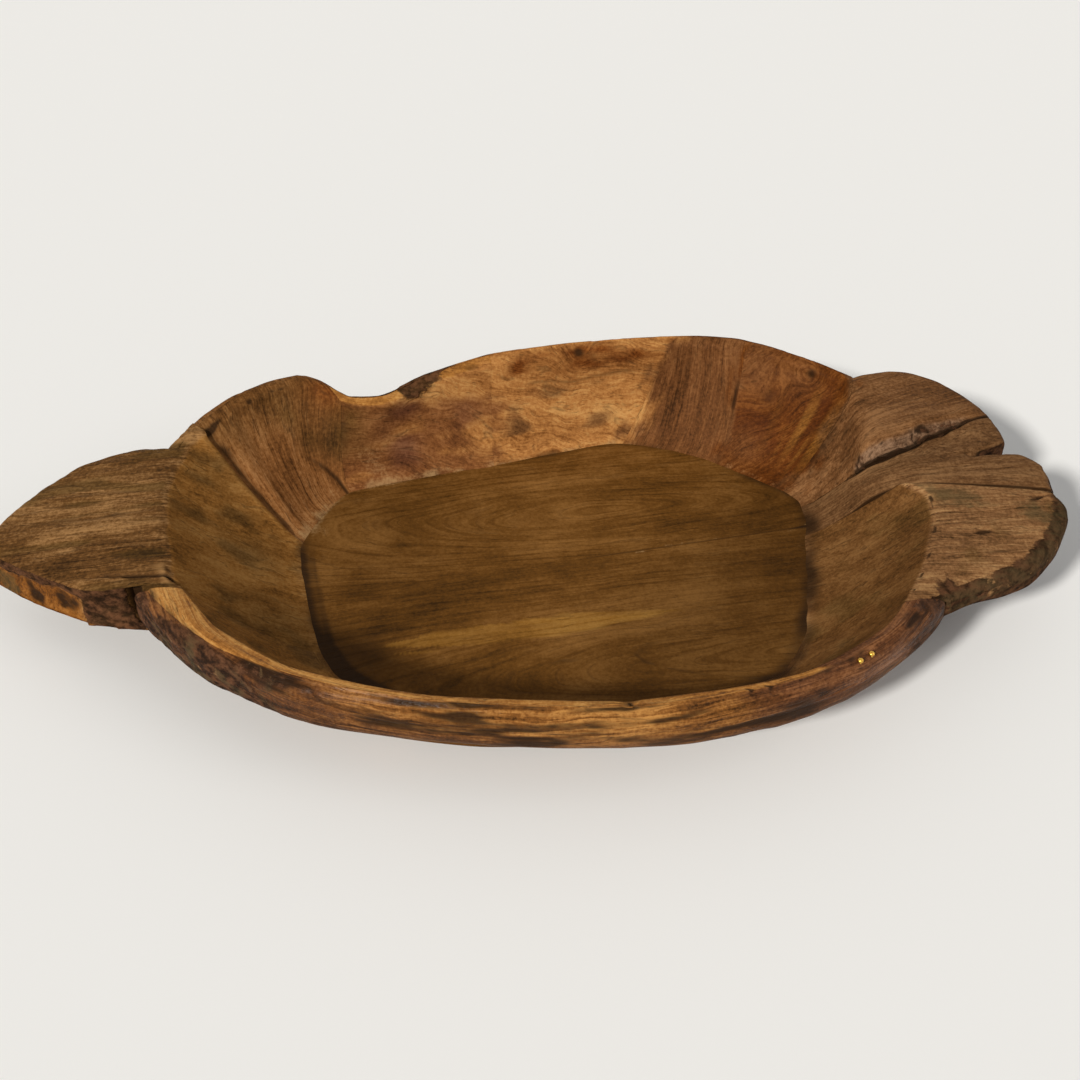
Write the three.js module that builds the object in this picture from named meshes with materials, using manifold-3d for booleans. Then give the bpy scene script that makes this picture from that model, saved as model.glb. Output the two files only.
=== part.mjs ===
// A hand-carved wooden bowl with two wing handles, built from jointed blocks.
// Units are millimetres, +Z is up, +X runs along the bowl towards the split handle, and
// the origin is the middle of the flat underside.
import * as THREE from 'three';
import { mergeVertices } from 'three/addons/utils/BufferGeometryUtils.js';
import Module from 'manifold-3d';

// Overall size
const BOWL_LENGTH = 750; // over both handles
const BOWL_WIDTH = 403; // over the rim
const RIM_HEIGHT = 103; // of the rim's highest edge above the underside

// Floor and walls
const FLOOR_THICKNESS = 22;
const WALL_FOOT = 20; // width of a wall block where it stands on the floor
const BASE_INSET = 26; // how far the underside tapers in below the walls
const KNEE_INSET = 4; // how far the floor's edge has tapered in at its knee
const KNEE_HEIGHT = 10; // height of that knee above the underside
const INNER_HOLLOW = 4; // how deep the inside of a wall is scooped
const OUTER_BELLY = 3; // how far the outside of a wall swells
const RIM_CROWN = 1.5; // rise of the rim's top between its two edges
const LIP_DEPTH = 27; // height of the rim's outer face
const LIP_UNDERCUT = 1; // how far the rim's outer face leans in at its bottom
const LEFT_HANDLE_DEPTH = 33;
const RIGHT_HANDLE_DEPTH = 26;
const HANDLE_BLEND_LENGTH = 16; // reach past the rim over which lip depth turns into handle depth

// Joinery
const GLUE_LINE = 0.3; // gap at every glued face
const DOWEL_DIAMETER = 8;
const DOWEL_CLEARANCE = 0.3; // round a dowel and at its ends
const SEAM_DOWEL_LENGTH = 24;
const FLOOR_DOWEL_LENGTH = 27;
const FLOOR_DOWEL_BURY = 11; // length of a floor dowel that sits in the floor, above its knee
const JOINT_DOWEL_LENGTH = 40;
const JOINT_DOWEL_PITCH = 110; // along the joint between the floor boards
const JOINT_OFFSET = 16; // distance of that joint behind the middle of the bowl
const JOINT_ANGLE = 7.5; // degrees that the joint is turned from the long axis

// Brass pins in the front rim
const PIN_HEAD_DIAMETER = 3.8;
const PIN_HEAD_HEIGHT = 1.6;
const PIN_SHANK_DIAMETER = 1.8;
const PIN_LENGTH = 14;
const PIN_SINK = 1; // depth of the seat that the head sits in
const PIN_ANGLES = [318.2, 320.4];
const PIN_RIM_SHARE = 0.7; // place on the rim's top, from its inner edge to its outer one

// The lines and angles below are drawn in millimetres about the middle of the bowl, and are stretched
// to its length, width and height.
// Line where the walls meet the floor: x, y. Straight facets at the back, rounder in front.
const FLOOR_LINE = [
  [216, 78], [206, 5], [187, -68], [160, -112], [110, -128], [40, -134], [-40, -130], [-100, -116], [-137, -90],
  [-153, -58], [-162, -6], [-168, 54], [-134, 118], [-24, 144], [80, 167], [132, 150], [165, 128],
];
// Ridge where the inside of the walls turns into the rim or a handle: x, y, z.
const RIDGE_LINE = [
  [272, -34, 85], [275, -6, 86], [257, 14, 87], [250, 54, 90], [254, 100, 92], [250, 128, 94], [228, 144, 98],
  [192, 166, 101], [148, 181, 101], [88, 186, 99], [36, 184, 97], [-18, 178, 94], [-66, 162, 87], [-98, 145, 83],
  [-126, 145, 84], [-152, 156, 93], [-178, 152, 95], [-208, 136, 92], [-240, 100, 84], [-251, 60, 82],
  [-249, 14, 82], [-242, -20, 82], [-235, -48, 82], [-205, -97, 84], [-156, -141, 87], [-73, -174, 90],
  [42, -190, 91], [146, -176, 90], [212, -136, 88], [250, -82, 86],
];
// Outer top edge of the rim, which runs on under the handles: x, y, z.
const RIM_LINE = [
  [286, 0, 84], [281, 60, 88], [272, 112, 92], [262, 138, 94], [224, 163, 100], [183, 187, 103], [148, 197, 102],
  [88, 201, 100], [40, 199, 99], [-16, 194, 96], [-70, 178, 90], [-102, 160, 85], [-128, 159, 86], [-150, 169, 95],
  [-166, 172, 99], [-190, 165, 98], [-216, 151, 95], [-238, 132, 90], [-260, 102, 82], [-270, 50, 80], [-270, 0, 80],
  [-262, -58, 80], [-213, -120, 82], [-144, -165, 84], [-45, -192, 87], [24, -202, 88], [82, -202, 87],
  [143, -190, 86], [189, -169, 85], [230, -139, 84], [259, -110, 82], [280, -60, 82],
];
// Outer top edges of the two handles, from root to root: x, y, z.
const LEFT_HANDLE_LINE = [
  [-259, 103, 80], [-278, 108, 79], [-294, 106, 78], [-321, 94, 76], [-346, 71, 74], [-365, 42, 72], [-376, 12, 71],
  [-356, -8, 72], [-334, -24, 73], [-302, -43, 74], [-284, -49, 76], [-265, -50, 78],
];
const RIGHT_HANDLE_LINE = [
  [262, -110, 80], [281, -101, 79], [308, -88, 78], [334, -74, 78], [358, -51, 79], [371, -31, 80], [374, -19, 81],
  [371, -6, 82], [372, 8, 84], [372, 22, 85], [362, 36, 85], [334, 40, 85], [354, 52, 86], [355, 70, 87],
  [351, 92, 88], [341, 113, 89], [328, 131, 90], [311, 143, 91], [294, 146, 92], [276, 143, 93], [262, 139, 94],
];

// Upright joints between the wall blocks: angles in degrees at the floor, the ridge and the outer edge,
// and how far the joint stands open at the ridge and the outer edge.
const SEAMS = {
  right_front: { angles: [335, 333, 336.8], ridgeOpen: 0, edgeOpen: 0 },
  lower_split: { angles: [369, 362, 359.2], ridgeOpen: 3, edgeOpen: 2 },
  upper_split: { angles: [377.5, 368.5, 373.3], ridgeOpen: 5, edgeOpen: 2 },
  right_back: { angles: [383.5, 384, 388.2], ridgeOpen: 0, edgeOpen: 0 },
  back_right: { angles: [399, 403, 403], ridgeOpen: 0, edgeOpen: 0 },
  back_middle_right: { angles: [421.5, 415.5, 415], ridgeOpen: 0, edgeOpen: 0 },
  back_middle_left: { angles: [457, 455, 455], ridgeOpen: 0, edgeOpen: 0 },
  back_left: { angles: [498, 492, 491.5], ridgeOpen: 0, edgeOpen: 0 },
  left_back: { angles: [521, 514, 512.5], ridgeOpen: 0, edgeOpen: 0 },
  left_front: { angles: [563, 554, 551.5], ridgeOpen: 0.6, edgeOpen: 3 },
  front_middle: { angles: [643, 642.5, 642.5], ridgeOpen: 0, edgeOpen: 0 },
};

// Wall blocks in order round the bowl, each from one joint to the next, with the colour of its wood.
const BLOCKS = [
  ['right_handle_front_finger', 'right_front', 'lower_split', 0x7a5430],
  ['right_handle_middle_finger', 'lower_split', 'upper_split', 0x6f4b28],
  ['right_handle_back_finger', 'upper_split', 'right_back', 0x6b4529],
  ['back_right_corner_block', 'right_back', 'back_right', 0x74431f],
  ['back_right_block', 'back_right', 'back_middle_right', 0x6b4126],
  ['back_centre_block', 'back_middle_right', 'back_middle_left', 0x9a6a34],
  ['back_left_block', 'back_middle_left', 'back_left', 0x704628],
  ['back_left_corner_block', 'back_left', 'left_back', 0x7a5230],
  ['left_handle_block', 'left_back', 'left_front', 0x6f5430],
  ['front_left_block', 'left_front', 'front_middle', 0x8a5c30],
  ['front_right_block', 'front_middle', 'right_front', 0x8a5a32],
];
const FLOOR_COLOUR = 0x5c3f1c;
const DOWEL_COLOUR = 0xb08a58;
const BRASS_COLOUR = 0xc8a24a;

// Resolution of the solids
const WALL_ROWS = 5; // from the floor up to the ridge
const TOP_ROWS = 4; // from the ridge out to the edge
const COLUMN_SPACING = 15;
const EDGE_SAMPLES = 240; // steps along a block's outer edge when its columns are spaced
const LEAST_COLUMNS = 3; // steps along even the shortest block
const FLOOR_COLUMNS = 88;
const LINE_STEPS = 24; // samples between two points of a line
const ROUND_SIDES = 12;
const CORNER_SOFTNESS = 0.3; // 0 keeps a line's corners sharp, 0.5 makes it fully round
const ROOT_SHARE = 0.8; // height share of the outer wall where a handle's underside starts
const DOWEL_STAGGER = 0.09; // neighbouring seam dowels sit this share higher and lower
const SEAM_DOWEL_SHARE = 0.52; // height share of the wall where the seam dowels sit
const PIN_DOME = { side: 0.4, shoulder: 0.85, shoulderWidth: 0.6 }; // shares of a pin head's height and width
const SAME_POINT = 1e-5; // points closer than this are one

const wasm = await Module();
wasm.setup();

const { lerp, degToRad, smoothstep } = THREE.MathUtils;
const FULL_TURN = 2 * Math.PI;

function linePoints(line) {
  return line.map(([x, y, z = 0]) => new THREE.Vector3(x, y, z));
}

// Stretch from the drawn lines to the bowl's own size
const drawnLines = [FLOOR_LINE, RIDGE_LINE, RIM_LINE, LEFT_HANDLE_LINE, RIGHT_HANDLE_LINE];
const drawnSize = new THREE.Box3().setFromPoints(drawnLines.flatMap(linePoints)).getSize(new THREE.Vector3());
const stretch = new THREE.Vector3(BOWL_LENGTH, BOWL_WIDTH, RIM_HEIGHT).divide(drawnSize);

// Angle on the bowl, in radians, of an angle on the drawing in degrees.
function bowlAngle(degrees) {
  const angle = degToRad(degrees);
  const [across, along] = [Math.sin(angle), Math.cos(angle)];
  return angle + Math.atan2(stretch.y * across, stretch.x * along) - Math.atan2(across, along);
}

// Turns a line of points into a function of the angle round the bowl that gives radius and height.
function polarLine(points, closed) {
  const corners = linePoints(points).map((corner) => corner.multiply(stretch));
  const curve = new THREE.CatmullRomCurve3(corners, closed, 'catmullrom', CORNER_SOFTNESS);
  const samples = curve.getPoints(points.length * LINE_STEPS);
  const stations = samples.map((p) => ({
    angle: Math.atan2(p.y, p.x),
    radius: Math.hypot(p.x, p.y),
    height: p.z,
  }));
  for (let i = 1; i < stations.length; i += 1) {
    while (stations[i].angle < stations[i - 1].angle - Math.PI) stations[i].angle += FULL_TURN;
    while (stations[i].angle > stations[i - 1].angle + Math.PI) stations[i].angle -= FULL_TURN;
  }
  if (stations[stations.length - 1].angle < stations[0].angle) stations.reverse();
  const first = stations[0].angle;
  return (angle) => {
    const turned = first + THREE.MathUtils.euclideanModulo(angle - first, FULL_TURN);
    const next = stations.findIndex((s) => s.angle >= turned);
    if (next < 0) return null;
    if (next === 0) return stations[0];
    const a = stations[next - 1];
    const b = stations[next];
    const share = b.angle > a.angle ? (turned - a.angle) / (b.angle - a.angle) : 0;
    return { radius: lerp(a.radius, b.radius, share), height: lerp(a.height, b.height, share) };
  };
}

const floorLine = polarLine(FLOOR_LINE, true);
const ridgeLine = polarLine(RIDGE_LINE, true);
const rimLine = polarLine(RIM_LINE, true);
const handles = [
  { line: polarLine(LEFT_HANDLE_LINE, false), depth: LEFT_HANDLE_DEPTH },
  { line: polarLine(RIGHT_HANDLE_LINE, false), depth: RIGHT_HANDLE_DEPTH },
];

// Outer edge of the bowl at an angle: the rim, or a handle where one reaches further out.
function outerEdge(angle) {
  const rim = rimLine(angle);
  for (const handle of handles) {
    const reach = handle.line(angle);
    if (reach && reach.radius > rim.radius) {
      const blend = smoothstep(reach.radius - rim.radius, 0, HANDLE_BLEND_LENGTH);
      return {
        radius: reach.radius,
        height: lerp(rim.height, reach.height, blend),
        depth: lerp(LIP_DEPTH, handle.depth, blend),
      };
    }
  }
  return { radius: rim.radius, height: rim.height, depth: LIP_DEPTH };
}

const WALL_BASE = FLOOR_THICKNESS + GLUE_LINE;
const ROWS = WALL_ROWS + TOP_ROWS;

function polarPoint(angle, radius, height) {
  return new THREE.Vector3(radius * Math.cos(angle), radius * Math.sin(angle), height);
}

// Moves a point straight away from the middle of the bowl.
function pushOut(point, distance) {
  const outward = new THREE.Vector3(point.x, point.y, 0).normalize();
  return point.addScaledVector(outward, distance);
}

// Point of the inner skin at one row: up the inside of the wall, then out over the rim or handle.
// A column is three angles, at the floor, the ridge and the outer edge.
function innerSkin(column, row) {
  const { radius, height } = ridgeLine(column.ridge);
  const ridge = polarPoint(column.ridge, radius, height);
  if (row < WALL_ROWS) {
    const share = row / (WALL_ROWS - 1);
    const foot = polarPoint(column.floor, floorLine(column.floor).radius, WALL_BASE);
    return pushOut(foot.lerp(ridge, share), INNER_HOLLOW * Math.sin(Math.PI * share));
  }
  const share = (row - WALL_ROWS + 1) / TOP_ROWS;
  const edge = outerEdge(column.edge);
  const point = ridge.lerp(polarPoint(column.edge, edge.radius, edge.height), share);
  point.z += RIM_CROWN * Math.sin(Math.PI * share);
  return point;
}

// Point of the outer skin at one row: up the outside of the wall, then out under the rim or handle.
function outerSkin(column, row) {
  const foot = polarPoint(column.floor, floorLine(column.floor).radius + WALL_FOOT, WALL_BASE);
  const rim = rimLine(column.ridge);
  const lip = polarPoint(column.ridge, rim.radius - LIP_UNDERCUT, rim.height - LIP_DEPTH);
  const root = foot.clone().lerp(lip, ROOT_SHARE);
  if (row < WALL_ROWS) {
    const share = row / (WALL_ROWS - 1);
    return pushOut(foot.lerp(root, share), OUTER_BELLY * Math.sin(Math.PI * share));
  }
  const share = (row - WALL_ROWS + 1) / TOP_ROWS;
  const edge = outerEdge(column.edge);
  return root.lerp(polarPoint(column.edge, edge.radius - LIP_UNDERCUT, edge.height - edge.depth), share);
}

// Column of a joint, moved by half of its gap to the side of the block that it closes.
function seamColumn(seam, side) {
  const shifted = (degrees, line, open) => {
    const angle = bowlAngle(degrees);
    return angle + (side * (GLUE_LINE + open)) / 2 / line(angle).radius;
  };
  const [floor, ridge, edge] = seam.angles;
  return {
    floor: shifted(floor, floorLine, 0),
    ridge: shifted(ridge, ridgeLine, seam.ridgeOpen),
    edge: shifted(edge, outerEdge, seam.edgeOpen),
  };
}

function mixColumns(a, b, share) {
  return {
    floor: lerp(a.floor, b.floor, share),
    ridge: lerp(a.ridge, b.ridge, share),
    edge: lerp(a.edge, b.edge, share),
  };
}

// First and last column of a block; the last joint round the bowl is the first one again, a full turn on.
function blockEnds(start, end) {
  const last = seamColumn(end, -1);
  if (end.angles[0] < start.angles[0]) {
    last.floor += FULL_TURN;
    last.ridge += FULL_TURN;
    last.edge += FULL_TURN;
  }
  return [seamColumn(start, 1), last];
}

// Columns of a block, spaced evenly along its outer edge.
function blockColumns(first, last) {
  const lengths = [0];
  const edgePoint = (share) => innerSkin(mixColumns(first, last, share), ROWS - 1);
  let previous = edgePoint(0);
  for (let i = 1; i <= EDGE_SAMPLES; i += 1) {
    const point = edgePoint(i / EDGE_SAMPLES);
    lengths.push(lengths[i - 1] + point.distanceTo(previous));
    previous = point;
  }
  const total = lengths[EDGE_SAMPLES];
  const count = Math.max(LEAST_COLUMNS, Math.round(total / COLUMN_SPACING));
  const columns = [];
  for (let c = 0; c <= count; c += 1) {
    const target = (c / count) * total;
    const next = Math.max(1, lengths.findIndex((length) => length >= target - SAME_POINT));
    const part = (target - lengths[next - 1]) / (lengths[next] - lengths[next - 1]);
    columns.push(mixColumns(first, last, (next - 1 + part) / EDGE_SAMPLES));
  }
  return columns;
}

// One wall block: two skins on the same grid of columns and rows, joined at the foot, the outer edge and both joints.
function blockGeometry(first, last) {
  const columns = blockColumns(first, last);
  const positions = [];
  for (const skin of [innerSkin, outerSkin]) {
    for (const column of columns) {
      for (let row = 0; row < ROWS; row += 1) positions.push(...skin(column, row).toArray());
    }
  }
  const inner = (column, row) => column * ROWS + row;
  const outer = (column, row) => (columns.length + column) * ROWS + row;
  const index = [];
  const quad = (a, b, c, d) => index.push(a, b, c, a, c, d);
  const lastColumn = columns.length - 1;
  const lastRow = ROWS - 1;
  for (let c = 0; c < lastColumn; c += 1) {
    for (let r = 0; r < lastRow; r += 1) {
      quad(inner(c, r), inner(c, r + 1), inner(c + 1, r + 1), inner(c + 1, r));
      quad(outer(c, r), outer(c + 1, r), outer(c + 1, r + 1), outer(c, r + 1));
    }
    quad(inner(c, 0), inner(c + 1, 0), outer(c + 1, 0), outer(c, 0));
    quad(inner(c, lastRow), outer(c, lastRow), outer(c + 1, lastRow), inner(c + 1, lastRow));
  }
  for (let r = 0; r < lastRow; r += 1) {
    quad(inner(0, r), outer(0, r), outer(0, r + 1), inner(0, r + 1));
    quad(inner(lastColumn, r), inner(lastColumn, r + 1), outer(lastColumn, r + 1), outer(lastColumn, r));
  }
  const geometry = new THREE.BufferGeometry();
  geometry.setAttribute('position', new THREE.Float32BufferAttribute(positions, 3));
  geometry.setIndex(index);
  return geometry;
}

// The whole floor before it is parted: a plate whose edge tapers in to the flat underside.
function floorGeometry() {
  const rings = [
    { inset: 0, height: FLOOR_THICKNESS },
    { inset: KNEE_INSET, height: KNEE_HEIGHT },
    { inset: BASE_INSET, height: 0 },
  ];
  const middles = [[0, 0, FLOOR_THICKNESS], [0, 0, 0]];
  const positions = middles.flat();
  for (const { inset, height } of rings) {
    for (let c = 0; c < FLOOR_COLUMNS; c += 1) {
      const angle = (c / FLOOR_COLUMNS) * FULL_TURN;
      const radius = floorLine(angle).radius + WALL_FOOT - inset;
      positions.push(...polarPoint(angle, radius, height).toArray());
    }
  }
  const at = (ring, column) => middles.length + ring * FLOOR_COLUMNS + (column % FLOOR_COLUMNS);
  const index = [];
  for (let c = 0; c < FLOOR_COLUMNS; c += 1) {
    index.push(0, at(0, c), at(0, c + 1));
    index.push(1, at(rings.length - 1, c + 1), at(rings.length - 1, c));
    for (let ring = 0; ring < rings.length - 1; ring += 1) {
      index.push(at(ring, c), at(ring + 1, c), at(ring + 1, c + 1));
      index.push(at(ring, c), at(ring + 1, c + 1), at(ring, c + 1));
    }
  }
  const geometry = new THREE.BufferGeometry();
  geometry.setAttribute('position', new THREE.Float32BufferAttribute(positions, 3));
  geometry.setIndex(index);
  return geometry;
}

function toSolid(geometry, matrix = new THREE.Matrix4()) {
  const bare = geometry.clone().applyMatrix4(matrix);
  bare.deleteAttribute('normal');
  bare.deleteAttribute('uv');
  const merged = mergeVertices(bare, SAME_POINT);
  return new wasm.Manifold(
    new wasm.Mesh({
      numProp: 3,
      vertProperties: new Float32Array(merged.attributes.position.array),
      triVerts: new Uint32Array(merged.index.array),
    }),
  );
}

function toGeometry(solid) {
  const mesh = solid.getMesh();
  const geometry = new THREE.BufferGeometry();
  geometry.setAttribute('position', new THREE.BufferAttribute(new Float32Array(mesh.vertProperties), 3));
  geometry.setIndex(new THREE.BufferAttribute(new Uint32Array(mesh.triVerts), 1));
  geometry.computeVertexNormals();
  return geometry;
}

const Y_AXIS = new THREE.Vector3(0, 1, 0);

function placement(centre, direction) {
  const turn = new THREE.Quaternion().setFromUnitVectors(Y_AXIS, direction.clone().normalize());
  return { centre, turn, matrix: new THREE.Matrix4().compose(centre, turn, new THREE.Vector3(1, 1, 1)) };
}

function dowelGeometry(length, clearance = 0) {
  const radius = DOWEL_DIAMETER / 2 + clearance;
  return new THREE.CylinderGeometry(radius, radius, length + 2 * clearance, ROUND_SIDES);
}

// Middle of the wood between the two skins at a fractional row.
function wallMiddle(column, row) {
  return innerSkin(column, row).lerp(outerSkin(column, row), 0.5);
}

// A dowel across each upright joint, with both ends in the middle of the wood.
function seamDowel(seam, order) {
  const share = SEAM_DOWEL_SHARE + (order % 2 ? DOWEL_STAGGER : -DOWEL_STAGGER);
  const row = share * (WALL_ROWS - 1);
  const middle = seamColumn(seam, 0);
  const swing = SEAM_DOWEL_LENGTH / 2 / floorLine(middle.floor).radius;
  const [from, to] = [-swing, swing].map((turn) => {
    const column = { floor: middle.floor + turn, ridge: middle.ridge + turn, edge: middle.edge + turn };
    return wallMiddle(column, row);
  });
  return placement(from.clone().lerp(to, 0.5), to.clone().sub(from));
}

// A dowel that slants along the middle of a wall block, from the floor up into the wall.
function floorDowel(first, last) {
  const column = mixColumns(first, last, 0.5);
  column.ridge = column.floor;
  const foot = wallMiddle(column, 0);
  const direction = wallMiddle(column, 1).sub(foot).normalize();
  const centre = foot.addScaledVector(direction, FLOOR_DOWEL_LENGTH / 2 - FLOOR_DOWEL_BURY);
  return placement(centre, direction);
}

const bowl = new THREE.Group();

function addPiece(name, geometry, colour, roughness = 0.55, metalness = 0) {
  const mesh = new THREE.Mesh(geometry, new THREE.MeshStandardMaterial({ color: colour, roughness, metalness }));
  mesh.name = name;
  bowl.add(mesh);
  return mesh;
}

function addDowel(name, length, place) {
  const dowel = addPiece(name, dowelGeometry(length), DOWEL_COLOUR, 0.8);
  dowel.position.copy(place.centre);
  dowel.quaternion.copy(place.turn);
  return toSolid(dowelGeometry(length, DOWEL_CLEARANCE), place.matrix);
}

// Dowels and the bores that take them
const seamBores = {};
Object.entries(SEAMS).forEach(([name, seam], order) => {
  seamBores[name] = addDowel(`seam_dowel_${name}`, SEAM_DOWEL_LENGTH, seamDowel(seam, order));
});
const floorBores = {};
for (const [name, start, end] of BLOCKS) {
  const place = floorDowel(...blockEnds(SEAMS[start], SEAMS[end]));
  floorBores[name] = addDowel(`floor_dowel_${name}`, FLOOR_DOWEL_LENGTH, place);
}
const jointTurn = degToRad(JOINT_ANGLE);
const jointAlong = new THREE.Vector3(Math.cos(jointTurn), Math.sin(jointTurn), 0);
const jointAcross = new THREE.Vector3(-Math.sin(jointTurn), Math.cos(jointTurn), 0);
const jointMiddle = jointAcross.clone().multiplyScalar(JOINT_OFFSET).setZ(FLOOR_THICKNESS / 2);
const jointBores = [-1, 0, 1].map((step, order) => {
  const centre = jointMiddle.clone().addScaledVector(jointAlong, step * JOINT_DOWEL_PITCH);
  return addDowel(`floor_joint_dowel_${order + 1}`, JOINT_DOWEL_LENGTH, placement(centre, jointAcross));
});

// Brass pins: a domed head on a shank, and the seat and hole that take them
const pinRow = WALL_ROWS - 1 + PIN_RIM_SHARE * TOP_ROWS;

function pinProfile(clearance) {
  const head = PIN_HEAD_DIAMETER / 2 + clearance;
  const shank = PIN_SHANK_DIAMETER / 2 + clearance;
  return [
    [0, -PIN_LENGTH - clearance],
    [shank, -PIN_LENGTH - clearance],
    [shank, -clearance],
    [head, -clearance],
    [head, PIN_HEAD_HEIGHT * PIN_DOME.side + clearance],
    [head * PIN_DOME.shoulderWidth, PIN_HEAD_HEIGHT * PIN_DOME.shoulder + clearance],
    [0, PIN_HEAD_HEIGHT + clearance],
  ].map(([radius, height]) => new THREE.Vector2(radius, height));
}

function pinGeometry(clearance = 0) {
  return new THREE.LatheGeometry(pinProfile(clearance), ROUND_SIDES).rotateX(Math.PI / 2);
}

const pinBores = PIN_ANGLES.map((degrees, order) => {
  const angle = bowlAngle(degrees);
  const seat = innerSkin({ floor: angle, ridge: angle, edge: angle }, pinRow);
  seat.z -= PIN_SINK;
  const pin = addPiece(`brass_pin_${order + 1}`, pinGeometry(), BRASS_COLOUR, 0.3, 1);
  pin.position.copy(seat);
  return toSolid(pinGeometry(DOWEL_CLEARANCE), new THREE.Matrix4().setPosition(seat));
});

// Wall blocks, bored for the dowels of both joints, the floor and the pins
for (const [name, start, end, colour] of BLOCKS) {
  let block = toSolid(blockGeometry(...blockEnds(SEAMS[start], SEAMS[end])));
  const bores = [seamBores[start], seamBores[end], floorBores[name]];
  if (name === 'front_right_block') bores.push(...pinBores);
  for (const bore of bores) block = block.subtract(bore);
  addPiece(name, toGeometry(block), colour);
}

// Floor boards: the plate parted along the joint, each half bored for its dowels
const plate = toSolid(floorGeometry());
const cutter = 2 * BOWL_LENGTH; // side of a block that takes in half of the plate
for (const [name, side] of [['floor_board_front', -1], ['floor_board_back', 1]]) {
  const half = new THREE.BoxGeometry(cutter, cutter, cutter);
  half.translate(0, side * (cutter / 2 + GLUE_LINE / 2) + JOINT_OFFSET, 0).rotateZ(jointTurn);
  let board = plate.intersect(toSolid(half));
  for (const bore of [...jointBores, ...Object.values(floorBores)]) board = board.subtract(bore);
  addPiece(name, toGeometry(board), FLOOR_COLOUR, 0.5);
}

export default bowl;
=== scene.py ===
import math

import bpy
import numpy as np
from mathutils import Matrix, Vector


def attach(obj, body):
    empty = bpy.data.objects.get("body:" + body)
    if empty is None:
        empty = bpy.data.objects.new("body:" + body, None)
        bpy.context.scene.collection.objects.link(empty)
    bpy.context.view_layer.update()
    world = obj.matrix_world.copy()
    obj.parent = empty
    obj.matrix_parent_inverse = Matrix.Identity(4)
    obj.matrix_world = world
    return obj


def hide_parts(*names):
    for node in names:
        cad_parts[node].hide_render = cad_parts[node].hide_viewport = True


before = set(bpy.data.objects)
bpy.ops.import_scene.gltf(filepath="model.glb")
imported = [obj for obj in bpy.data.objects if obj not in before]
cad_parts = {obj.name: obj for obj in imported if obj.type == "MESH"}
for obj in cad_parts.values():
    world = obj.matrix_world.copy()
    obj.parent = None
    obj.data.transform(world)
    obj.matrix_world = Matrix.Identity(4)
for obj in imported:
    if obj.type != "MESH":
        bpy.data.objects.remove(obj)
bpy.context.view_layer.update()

# All lengths below are millimetres; meshes are written in metres.
MM = 0.001

# Floor and walls
FLOOR_THICKNESS = 22.0
TIGHT_JOINT = 0.06  # gap left between glued pieces
WALL_BASE = FLOOR_THICKNESS + TIGHT_JOINT
WALL_FOOT = 20.0  # width of a wall's foot on the floor
BASE_INSET = 26.0  # how far the floor's underside lies inside its top
KNEE_INSET = 4.0  # and the bend in its sloping edge
KNEE_HEIGHT = 10.0
INNER_HOLLOW = 4.0  # of the wall between foot and ridge
OUTER_BELLY = 3.0
RIM_CROWN = 1.5
LIP_DEPTH = 27.0  # of the rim's outer face
LIP_UNDERCUT = 1.0  # how far that face leans in
LEFT_HANDLE_DEPTH = 33.0
RIGHT_HANDLE_DEPTH = 26.0
HANDLE_BLEND = 16.0  # reach over which a handle takes over from the rim
ROOT_SHARE = 0.8  # of the way from the outer foot to the lip
JOINT_OFFSET = 16.0  # of the joint between the floor boards from the bowl's middle
JOINT_ANGLE = math.radians(7.5)  # of that joint against the bowl's length
COVE = 4.5  # how far the wall's foot runs out over the floor
COVE_WALK = 0.1  # share of the wall's height that the cove takes
COVE_WAVE = 24.0  # length of the waves in the cove's edge
COVE_SWAY = 0.25  # share of the cove that the waves take
COVE_SWAY_RIGHT = 0.35  # and what is added to it at the bowl's right end
COVE_SWAY_RANGE = (60.0, 160.0)  # x over which that is added

# Rounded corners of a wall's section, as the length cut off on both sides of each
SQUARE = (0.0, 0.0)
LIP_ROUND = (9.0, 9.0)
UNDER_ROUND = (9.0, 9.0)
ROOT_ROUND = (14.0, 14.0)
LARGEST_ROUND = 0.46  # of a stretch's length

# Line where the walls meet the floor: x, y
FLOOR_LINE = [
    (216, 78), (206, 5), (187, -68), (160, -112), (110, -128), (40, -134), (-40, -130), (-100, -116),
    (-137, -90), (-153, -58), (-162, -6), (-168, 54), (-134, 118), (-24, 144), (80, 167), (132, 150),
    (165, 128),
]
# Ridge where the inside of the walls turns into the rim or a handle: x, y, z
RIDGE_LINE = [
    (272, -34, 85), (275, -6, 86), (257, 14, 87), (250, 54, 90), (254, 100, 92), (250, 128, 94),
    (228, 144, 98), (192, 166, 101), (148, 181, 101), (88, 186, 99), (36, 184, 97), (-18, 178, 94),
    (-66, 162, 87), (-98, 145, 83), (-126, 145, 84), (-152, 156, 93), (-178, 152, 95), (-208, 136, 92),
    (-240, 100, 84), (-251, 60, 82), (-249, 14, 82), (-242, -20, 82), (-235, -48, 82), (-205, -97, 84),
    (-156, -141, 87), (-73, -174, 90), (42, -190, 91), (146, -176, 90), (212, -136, 88), (250, -82, 86),
]
# Outer top edge of the rim, which runs on under the handles: x, y, z
RIM_LINE = [
    (286, 0, 84), (281, 60, 88), (272, 112, 92), (262, 138, 94), (224, 163, 100), (183, 187, 103),
    (148, 197, 102), (88, 201, 100), (40, 199, 99), (-16, 194, 96), (-70, 178, 90), (-102, 160, 85),
    (-128, 159, 86), (-150, 169, 95), (-166, 172, 99), (-190, 165, 98), (-216, 151, 95), (-238, 132, 90),
    (-260, 102, 82), (-270, 50, 80), (-270, 0, 80), (-262, -58, 80), (-213, -120, 82), (-144, -165, 84),
    (-45, -192, 87), (24, -202, 88), (82, -202, 87), (143, -190, 86), (189, -169, 85), (230, -139, 84),
    (259, -110, 82), (280, -60, 82),
]
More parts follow.
